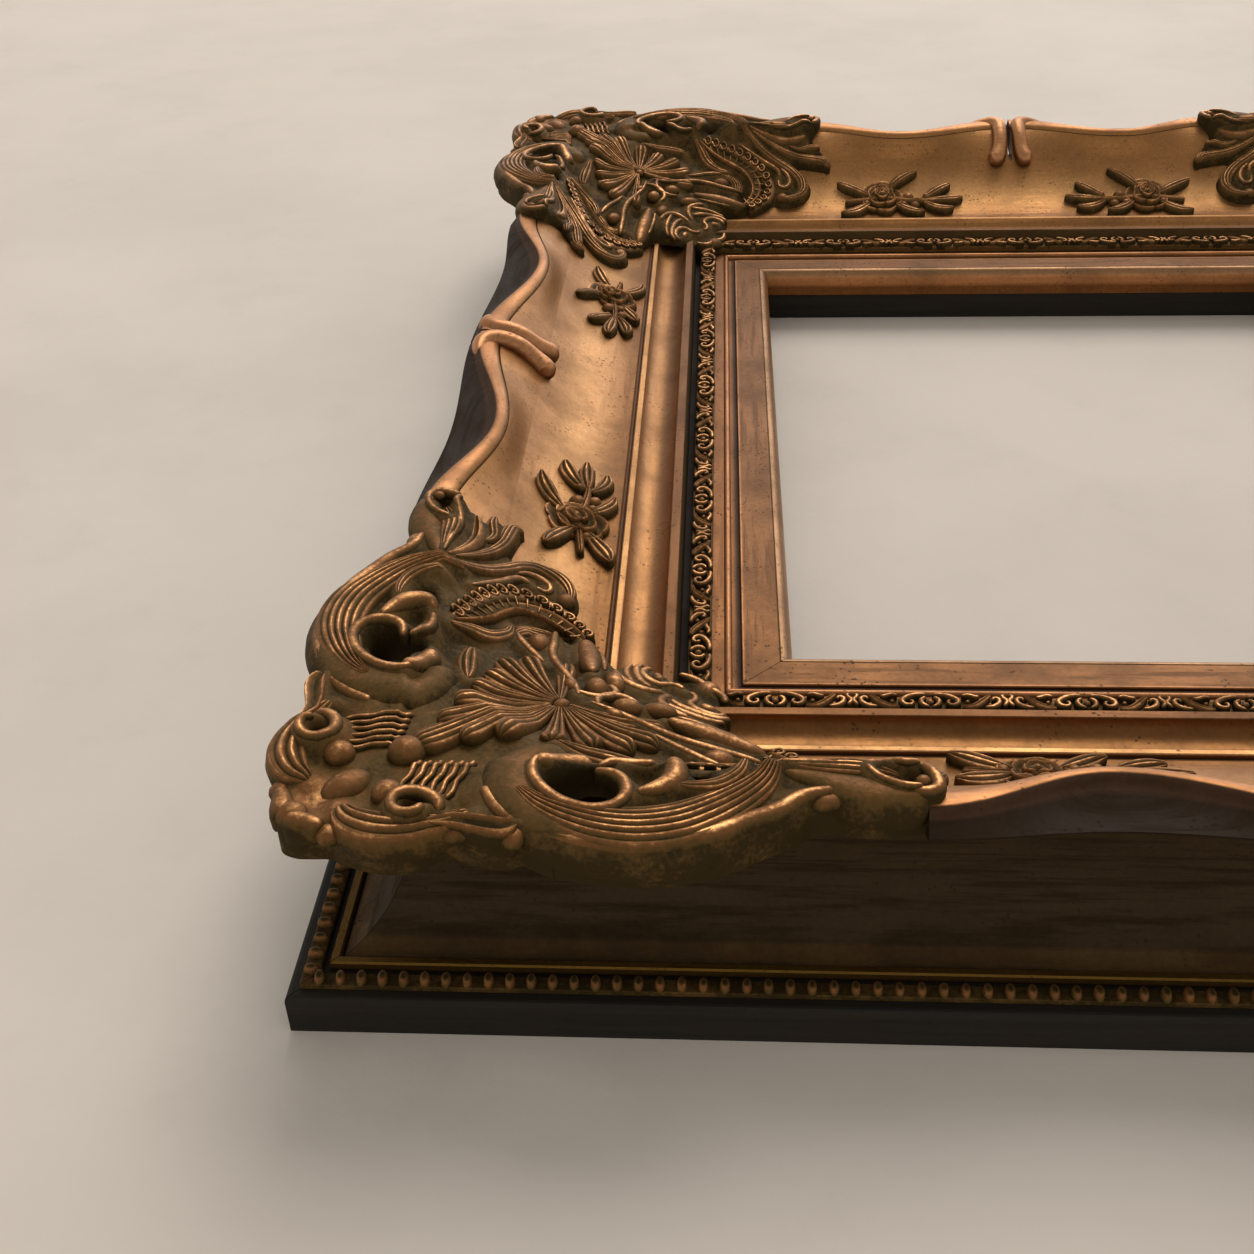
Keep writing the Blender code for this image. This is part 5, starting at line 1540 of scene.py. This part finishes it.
# Strokes of half a corner: stations (along, across, half width and perhaps lift), relief,
# crown, folds
CORNER_STROKES = (
    # rail-end cup
    (((94.0, 151.0, 5.0, -1.5), (101.0, 146.0, 8.0, -1.0), (108.0, 137.0, 9.5, -1.0),
      (114.0, 126.0, 9.0, -1.5), (118.0, 116.0, 6.0, -2.0), (124.0, 106.0, 2.0, -2.5)),
     ROUND, 8.0, 1),
    (((97.0, 149.0, 1.0, 1.0), (101.0, 145.0, 1.6, 1.4), (103.0, 140.0, 1.7, 1.2),
      (103.6, 134.0, 1.6, 0.8), (102.0, 127.0, 1.2, 0.4)), ROUND, 2.8, 1),
    (((86.0, 140.0, 2.6), (87.5, 147.0, 3.0), (92.0, 152.0, 3.0), (97.5, 150.0, 2.6),
      (99.0, 145.0, 2.2)), ROUND, 3.4, 1),
    (((86.0, 139.0, 1.2, 0.6), (91.0, 136.0, 1.9, 1.2), (94.0, 130.0, 2.0, 1.2),
      (98.0, 124.0, 2.0, 1.0), (104.0, 118.4, 1.8, 0.6), (112.0, 112.6, 1.5, 0.4),
      (122.0, 104.0, 0.9)), ROUND, 3.4, 1),
    (((96.0, 138.0, 2.0, -2.0), (99.0, 130.0, 4.4, -1.6), (104.0, 123.0, 5.0, -1.0),
      (111.0, 116.0, 4.0, -0.8), (119.0, 108.0, 1.6, -0.8)), FOLDED, 3.4, 4),
    # flame leaf
    (((57.4, 130.0, 1.6), (63.0, 131.6, 4.4), (70.0, 127.0, 5.4), (79.0, 120.0, 5.0),
      (90.0, 113.6, 4.0), (102.0, 108.4, 2.8), (117.0, 103.0, 1.0)), FOLDED, 5.6, 5),
    (((71.0, 134.0, 1.6, 0.6), (77.0, 129.0, 3.4, 0.8), (82.0, 122.0, 3.0, 0.6),
      (90.0, 117.0, 1.4, 0.2)), FOLDED, 4.4, 3),
    (((84.0, 131.0, 1.6, 0.6), (88.0, 125.6, 4.0, 0.8), (94.0, 119.0, 4.4, 0.6),
      (102.0, 113.0, 3.6, 0.4), (111.0, 108.0, 2.4), (121.0, 103.0, 1.0)), LEAF, 5.0, 1),
    # dark leaf scroll
    (((124.0, 100.5, 1.0), (112.0, 101.0, 3.4), (100.0, 102.6, 4.6), (88.0, 105.6, 5.0),
      (77.0, 108.6, 5.0), (67.0, 108.6, 5.0), (60.6, 104.0, 4.8), (59.0, 97.6, 4.4),
      (61.4, 91.0, 3.4), (65.6, 85.5, 1.8)), FOLDED, 6.0, 4),
    (((84.0, 101.6, 1.2, 0.4), (77.0, 102.4, 2.2, 0.6), (71.6, 99.6, 2.4, 0.6),
      (70.6, 94.4, 2.2, 0.4), (75.0, 91.6, 1.6), (79.0, 94.4, 1.2)), ROUND, 3.6, 1),
    # lobe over the scallops
    (((80.0, 97.0, 1.6), (84.0, 99.8, 2.6), (90.0, 99.0, 3.0), (98.0, 96.4, 3.0),
      (106.0, 94.0, 2.4), (118.0, 90.0, 0.8)), ROUND, 4.0, 1),
    # band under the scallops
    (((76.0, 58.0, 3.6, -1.6), (75.4, 68.0, 4.6, -1.6), (76.0, 78.0, 5.4, -1.6),
      (81.0, 87.0, 5.8, -1.6), (90.0, 91.4, 5.8, -1.6), (101.0, 91.0, 5.6, -1.6),
      (113.0, 87.6, 5.2, -1.6), (124.0, 82.6, 4.6, -1.6), (136.0, 76.0, 3.4, -1.6),
      (146.0, 70.0, 1.4, -1.6)), ROUND, 4.0, 1),
    # inner C with its fat leaf end
    (((80.6, 58.0, 1.8, 0.6), (81.6, 67.0, 3.2, 0.8), (85.4, 75.6, 3.8, 1.0),
      (92.0, 80.6, 4.0, 1.0), (101.0, 82.0, 4.0, 1.0), (111.0, 79.6, 4.0, 1.0),
      (121.0, 75.6, 4.0, 1.0), (132.0, 72.4, 3.4, 0.8), (144.0, 69.0, 1.4, 0.4)),
     HOLLOW, 5.6, 1),
    (((112.0, 71.0, 1.6, 0.2), (119.0, 66.4, 4.4, 0.8), (128.0, 65.0, 5.8, 1.2),
      (137.0, 66.6, 5.2, 1.2), (147.0, 67.0, 1.6, 0.2)), FOLDED, 6.4, 4),
    (((93.0, 58.0, 1.6, -1.6), (96.6, 66.0, 4.0, -1.4), (103.0, 70.6, 5.0, -1.2),
      (110.0, 69.6, 4.6, -1.2), (118.0, 65.0, 2.0, -1.2)), FOLDED, 4.0, 5),
    # ridge from the C to the foot of the shell
    (((91.0, 66.0, 1.4), (96.0, 60.6, 2.2, 0.4), (102.6, 53.0, 2.5, 0.4),
      (109.6, 45.4, 2.5, 0.4), (115.6, 36.0, 2.5, 0.4), (119.6, 24.0, 2.3, 0.2),
      (124.0, 12.0, 1.8), (129.0, 3.6, 1.0)), ROUND, 4.8, 1),
    (((113.4, 65.0, 1.1), (116.4, 59.0, 2.0, 0.4), (118.8, 51.0, 2.2, 0.4),
      (120.4, 43.0, 2.0), (122.4, 35.0, 1.2)), ROUND, 4.0, 1),
    # great bud
    (((79.6, 58.0, 2.6), (84.4, 52.4, 5.4, 0.8), (91.0, 43.4, 6.8, 1.6),
      (98.0, 33.4, 5.8, 1.0), (104.4, 23.6, 2.0)), ROUND, 8.0, 1),
    (((83.6, 44.0, 1.0), (87.6, 37.4, 1.8, 0.4), (92.6, 30.0, 1.8, 0.4), (98.0, 23.4, 1.0)),
     ROUND, 3.4, 1),
    # inner tip: curling leaf with its lines, and the ring on the band
    (((71.0, 28.0, 1.4), (77.0, 26.0, 2.4, 0.4), (82.6, 19.6, 2.8, 0.4), (86.0, 12.6, 2.4),
      (86.4, 6.0, 1.2)), ROUND, 4.0, 1),
    (((76.6, 30.0, 1.2), (83.6, 25.4, 2.2), (89.0, 18.6, 2.3), (93.0, 10.6, 1.6)),
     ROUND, 3.6, 1),
    (((69.6, 23.6, 1.6), (74.0, 24.0, 2.4), (78.6, 20.0, 2.7, 0.4), (80.0, 14.4, 2.7, 0.4),
      (78.0, 9.6, 2.4), (73.6, 8.4, 2.0), (70.4, 5.0, 1.8), (70.8, 1.6, 1.4)), ROUND, 4.2, 1),
    (((92.0, 24.0, 1.8), (95.0, 16.6, 2.8), (94.0, 8.6, 2.9), (88.6, 3.6, 2.6),
      (82.0, 1.8, 2.0)), ROUND, 4.2, 1),
    (((70.4, 19.6, 2.6), (73.4, 15.6, 3.2), (73.0, 12.0, 2.4)), ROUND, 3.6, 1),
    (((61.0, 15.0, 1.4), (57.4, 10.4, 2.2), (56.4, 4.6, 2.4), (58.4, 0.6, 2.0)),
     ROUND, 3.2, 1),
    (((107.0, 9.5, 1.4), (109.6, 2.8, 2.2, 0.8), (116.0, -0.6, 2.2, 0.8), (123.0, 1.4, 2.0, 0.4),
      (127.6, 7.0, 1.2)), ROUND, 4.0, 1),
    # ear leaf beside the shell
    (((145.0, 55.0, 1.6), (150.6, 50.4, 4.4, 0.8), (156.8, 43.0, 5.0, 1.0),
      (162.4, 35.0, 3.6, 0.4), (166.4, 28.6, 1.0)), FOLDED, 5.6, 3),
    # great scroll
    (((146.0, 112.0, 5.0, -2.8), (162.0, 109.0, 9.0, -2.4), (177.0, 102.0, 11.4, -1.8),
      (190.0, 89.0, 13.0, -1.2), (199.0, 73.0, 13.4, -0.8), (203.0, 57.0, 12.8, -0.6),
      (199.0, 42.0, 13.0, -0.8), (189.0, 33.0, 12.0, -1.0), (178.0, 35.0, 9.6, -0.6),
      (170.0, 42.0, 6.6, 0.0)), ROUND, 9.0, 1),
    (((118.0, 126.0, 2.0, -2.0), (128.0, 120.6, 3.4, -1.6), (140.0, 119.4, 4.0, -1.4),
      (152.0, 116.0, 4.4, -1.2), (166.0, 111.6, 4.8, -1.2), (180.0, 104.0, 5.2, -1.4),
      (192.0, 94.0, 5.6, -1.6), (202.0, 80.0, 5.6, -2.0), (208.6, 64.0, 5.0, -2.4),
      (210.6, 50.0, 4.0, -2.8), (207.6, 36.0, 2.4, -3.0)), ROUND, 6.0, 1),
    (((116.0, 97.4, 1.2, 0.4), (124.0, 101.6, 3.8, 0.4), (134.0, 105.6, 6.6, 0.4),
      (146.0, 106.4, 8.8, 0.6), (160.0, 104.6, 10.4, 0.8), (172.0, 101.0, 11.4, 1.0),
      (183.0, 93.6, 11.4, 1.0), (191.4, 83.6, 10.4, 1.0), (197.0, 72.0, 8.6, 0.8),
      (200.4, 60.0, 5.8, 0.6), (201.0, 48.0, 2.0, 0.2)), FOLDED, 6.4, 7),
    (((130.0, 94.0, 1.2), (138.0, 97.6, 3.0, 0.4), (147.0, 97.0, 3.4, 0.4),
      (154.0, 92.6, 2.4, 0.4), (158.0, 88.0, 1.2)), FOLDED, 4.4, 3),
    (((149.6, 72.0, 2.6), (151.6, 79.0, 5.0, 0.6), (157.6, 83.4, 5.6, 0.8),
      (165.6, 82.6, 4.2, 0.4), (172.0, 80.0, 1.8)), ROUND, 6.4, 1),
    (((174.6, 60.6, 1.4), (171.0, 66.6, 2.3, 0.6), (171.2, 73.0, 2.7, 0.8),
      (175.6, 78.6, 2.9, 1.0), (183.0, 79.8, 2.9, 1.0), (190.0, 75.4, 2.9, 1.0),
      (194.2, 67.0, 2.9, 1.0), (195.2, 58.0, 2.7, 1.0), (193.6, 49.0, 2.6, 1.0),
      (189.6, 43.0, 2.4, 0.8), (184.0, 40.0, 1.4, 0.6)), ROUND, 5.0, 1),
    (((153.0, 70.0, 2.0, -0.6), (158.6, 64.0, 2.6, -0.4), (165.4, 60.6, 2.4, -0.4),
      (172.0, 59.6, 1.4, -0.4)), ROUND, 4.4, 1),
    (((167.6, 51.0, 3.4, 1.0), (172.6, 47.0, 5.2, 1.6), (180.0, 43.6, 4.8, 1.2),
      (188.0, 41.6, 3.4, 0.8)), ROUND, 6.4, 1),
    # side leaf
    (((212.4, 62.4, 2.2, -0.6), (217.0, 60.4, 3.8, -0.2), (221.0, 55.6, 4.2),
      (224.6, 50.0, 3.8), (229.0, 45.0, 2.8), (236.0, 41.0, 1.2)), HOLLOW, 5.4, 1),
    # corner volute
    (((220.0, 45.4, 2.2, -1.6), (228.0, 43.0, 5.0, -1.2), (237.0, 39.6, 7.0, 0.0),
      (245.6, 34.0, 8.4, 0.8), (251.4, 26.4, 8.6, 1.0), (253.6, 17.6, 7.0, 0.2),
      (252.0, 9.6, 3.4, -1.4)), FOLDED, 8.0, 4),
    (((229.6, 40.0, 1.8, 1.0), (227.0, 35.6, 2.7, 1.6), (227.2, 30.4, 2.9, 2.0),
      (229.8, 26.0, 2.9, 2.4), (234.0, 23.6, 2.8, 2.8), (239.0, 24.6, 2.5, 3.2),
      (241.8, 28.8, 2.3, 3.6), (241.0, 34.0, 2.3, 4.0), (237.2, 37.0, 2.2, 4.0),
      (233.2, 35.6, 1.7, 3.4)), ROUND, 4.4, 1),
    (((262.0, 14.0, 2.4, -2.0), (264.4, 9.0, 4.4, -1.6), (267.0, 4.0, 5.4, -1.6),
      (268.0, -1.0, 3.4, -1.6)), ROUND, 7.0, 1),
)

# Balls of half a corner: along, across, radius, stretch, turn, lift
CORNER_BALLS = (
    (67.6, 87.4, 5.4), (108.0, 57.4, 5.6, 1.25, 130.0, 0.8), (114.6, 9.6, 5.2, 1.3, 125.0, 1.8),
    (100.4, 14.2, 4.6, 1.8, 125.0, 0.8), (235.4, 15.8, 6.2, 1.0, 0.0, 0.4),
    (93.6, 146.6, 2.8, 1.0, 0.0, 0.6), (125.0, 14.0, 2.8, 1.6, 110.0, 0.4),
    (215.0, 63.0, 4.6, 1.3, 40.0, -3.4), (228.0, 47.6, 4.4, 1.4, 160.0, -3.6),
    (261.0, 16.0, 4.8, 1.0, 0.0, -4.0), (122.0, 127.0, 4.0, 1.6, 150.0, -3.6))

# Balls on the mitre: along, radius, stretch, turn, lift
MIDDLE_BALLS = (
    (216.0, 7.4, 1.0, 0.0, 2.2), (141.6, 3.4, 1.2, 0.0, -0.4), (242.9, 8.0, 1.4, 0.0, -1.0),
    (266.0, 6.0, 1.2, 90.0, -1.0), (57.0, 5.6, 1.2, 90.0, 0.6))

# Centres of the small rings set along the scalloped band
SCALLOPS = (
    (76.0, 61.0), (75.4, 67.6), (75.8, 74.2), (78.0, 80.6), (82.0, 86.0), (88.0, 89.8),
    (94.8, 91.2), (101.6, 90.6), (108.2, 88.8), (114.6, 86.2), (120.8, 83.2), (126.8, 80.0),
    (132.6, 76.8), (138.2, 73.4))


# Back fittings


@dataclass
class Fittings:
    """Mitre keys, hanger straps, screws and the two swinging rings."""

    key_wood: bpy.types.Material
    steel: bpy.types.Material
    half_width: float = 10.5
    reach: float = 19.0
    wire: float = 1.5
    wire_sides: int = 12
    axis_height: float = 4.35
    hanger: tuple[float, float] = (257.0, 110.0)
    bend: float = 2.5

    def ring_mesh(self, sign: float) -> bpy.types.Mesh:
        """Smooth D ring lying in its pocket."""
        half, bend = self.half_width, self.bend
        line = [(0.0, 0.0), (half - bend, 0.0)]
        line += arc((half - bend, bend), (bend, bend), -60.0, 0.0, 3)
        line += arc((0.0, self.reach - half), (half, half), 0.0, 180.0, 22)
        line += arc((bend - half, bend), (bend, bend), 180.0, 240.0, 3)
        line += [(bend - half, 0.0)]
        places = np.array([(x, y, 0.0) for x, y in line])
        tangent = np.roll(places, -1, axis=0) - np.roll(places, 1, axis=0)
        tangent /= np.linalg.norm(tangent, axis=1, keepdims=True)
        side = np.cross(UPWARD, tangent)
        angle = np.linspace(0.0, 2.0 * np.pi, self.wire_sides, endpoint=False)
        rings = round_rings(places, side, UPWARD[None], self.wire, angle)
        rings = np.concatenate([rings, rings[:1]])
        draft = Draft()
        draft.loft(rings, np.full(rings.shape[:2], 0.6), caps=False)
        droop = math.asin((self.axis_height - self.wire - 0.2) / self.reach)
        x, y = self.hanger
        place = (Matrix.Translation((sign * x * MM, y * MM, self.axis_height * MM))
                 @ Matrix.Rotation(-droop, 4, "X") @ Matrix.Scale(MM, 4))
        mesh = draft.mesh(place, "wear")
        bm = bmesh.new()
        bm.from_mesh(mesh)
        bmesh.ops.remove_doubles(bm, verts=bm.verts, dist=0.00001)
        bmesh.ops.recalc_face_normals(bm, faces=bm.faces)
        bm.to_mesh(mesh)
        bm.free()
        return mesh

    def build(self) -> None:
        """Finish the fittings that stay, and replace the rings by smooth ones."""
        for name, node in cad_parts.items():
            if name.startswith("mitre_key"):
                paint(node.data, self.key_wood)
            elif name.startswith("hanger"):
                paint(node.data, self.steel)
        for label, sign in (("left", -1.0), ("right", 1.0)):
            dress(self.ring_mesh(sign), f"hanger_ring_{label}", self.steel,
                  f"ring_{label}")


# Stage


@dataclass
class Stage:
    """Pale floor, soft studio light and the camera at the photograph's angle, in metres."""

    place: tuple[float, float, float] = (-0.2341, -0.8347, 0.4540)
    camera_x: tuple[float, float, float] = (0.9982, 0.0525, -0.0277)
    camera_y: tuple[float, float, float] = (-0.0067, 0.5628, 0.8266)
    lens: float = 43.06
    sensor: float = 36.0
    near_clip: float = 0.01
    half_floor: float = 6.0
    floor: Colour = screen(219, 208, 196)
    stain: Colour = screen(207, 196, 184)
    fill: float = 1.10
    zenith: float = 0.42
    # name, place, power and size of each lamp
    lamps: tuple[tuple[str, tuple[float, float, float], float, float], ...] = (
        ("top", (2.2, 9.6, 11.4), 1250.0, 8.8), ("side", (4.8, 14.4, 2.6), 300.0, 7.2))

    def floor_material(self) -> bpy.types.Material:
        """Mottled pale grey plaster."""
        material, sheet = new_material("pale_floor")
        place = sheet.node("ShaderNodeTexCoord").outputs["Object"]
        clouds = sheet.noise(place, 3.2, 6.0, 0.6)
        flecks = sheet.between(sheet.noise(place, 14.0, 7.0, 0.7), 0.5, 0.75)
        share = sheet.math("ADD", sheet.between(clouds, 0.35, 0.7),
                           sheet.math("MULTIPLY", flecks, 0.5))
        colour = sheet.blend(sheet.math("MULTIPLY", share, 0.7), self.floor, self.stain)
        sheet.surface({"Base Color": colour, "Roughness": 0.85},
                      sheet.noise(place, 160.0, 4.0), 0.15, 0.001)
        return material

    def build(self) -> None:
        """Lay the floor, hang the lights and set the camera."""
        mesh = bpy.data.meshes.new("floor")
        size = self.half_floor
        mesh.from_pydata([(-size, -size, 0.0), (size, -size, 0.0), (size, size, 0.0),
                          (-size, size, 0.0)], [], [(0, 1, 2, 3)])
        mesh.materials.append(self.floor_material())
        floor = new_object("floor", mesh)
        world = bpy.data.worlds.new("studio")
        world.use_nodes = True
        sheet = Sheet(world.node_tree)
        ray = sheet.node("ShaderNodeLightPath")
        direction = sheet.node("ShaderNodeTexCoord").outputs["Generated"]
        split = sheet.node("ShaderNodeSeparateXYZ", {"Vector": direction})
        raised = sheet.between(split.outputs["Z"], 0.05, 0.75)
        strength = sheet.math("MULTIPLY_ADD", raised, self.zenith - self.fill, self.fill)
        fill = sheet.node("ShaderNodeBackground", {"Color": (1.0, 0.97, 0.93, 1.0),
                                                   "Strength": strength})
        back = sheet.node("ShaderNodeBackground", {"Color": self.floor, "Strength": 1.0})
        mixed = sheet.node("ShaderNodeMixShader", {0: ray.outputs["Is Camera Ray"],
                                                   1: fill.outputs[0], 2: back.outputs[0]})
        sheet.node("ShaderNodeOutputWorld", {"Surface": mixed.outputs[0]})
        bpy.context.scene.world = world
        for name, place, power, size in self.lamps:
            light = bpy.data.lights.new(name, "AREA")
            light.energy, light.size, light.color = power, size, (1.0, 0.98, 0.95)
            lamp = new_object(name, light)
            lamp.location = place
            aim = -Vector(place)
            lamp.rotation_euler = aim.to_track_quat("-Z", "Y").to_euler()
        data = bpy.data.cameras.new("camera")
        data.lens, data.sensor_width, data.clip_start = self.lens, self.sensor, self.near_clip
        camera = new_object("camera", data)
        axis_x, axis_y = Vector(self.camera_x).normalized(), Vector(self.camera_y)
        axis_z = axis_x.cross(axis_y).normalized()
        axis_y = axis_z.cross(axis_x)
        turn = Matrix((axis_x, axis_y, axis_z)).transposed().to_4x4()
        camera.matrix_world = Matrix.Translation(self.place) @ turn
        bpy.context.scene.camera = camera
        bpy.context.scene.view_settings.view_transform = "Standard"


def main() -> None:
    """Build the finishes, the stage and every sub-assembly, in order."""
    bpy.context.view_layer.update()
    shop = Shop()
    gilt = GiltFinish("aged_gilding", 0.30, 0.55, 0.85, 0.40, 0.92).build(shop)
    bronze = CarvedFinish("bronze_gilding", screen(50, 38, 14), screen(90, 67, 33),
                          screen(120, 80, 46), screen(208, 152, 98), 0.40, 0.9).build(shop)
    wood = PlainFinish("dark_wood", screen(32, 26, 18), screen(20, 16, 11),
                       (8.0, 8.0, 260.0), 0.65).build(shop)
    key_wood = PlainFinish("key_wood", screen(150, 112, 76), screen(112, 80, 52),
                           (60.0, 60.0, 400.0), 0.65).build(shop)
    steel = PlainFinish("steel", screen(150, 148, 144), screen(120, 116, 110),
                        (900.0, 90.0, 900.0), 0.34, 1.0, 0.1).build(shop)
    Stage().build()
    moulding = Moulding(gilt, wood)
    moulding.build()
    Running(bronze).build()
    Crest(moulding, gilt).build()
    Sprig(moulding, bronze).build()
    Cartouche(moulding, bronze).build()
    Fittings(key_wood, steel).build()


if __name__ == "__main__":
    main()
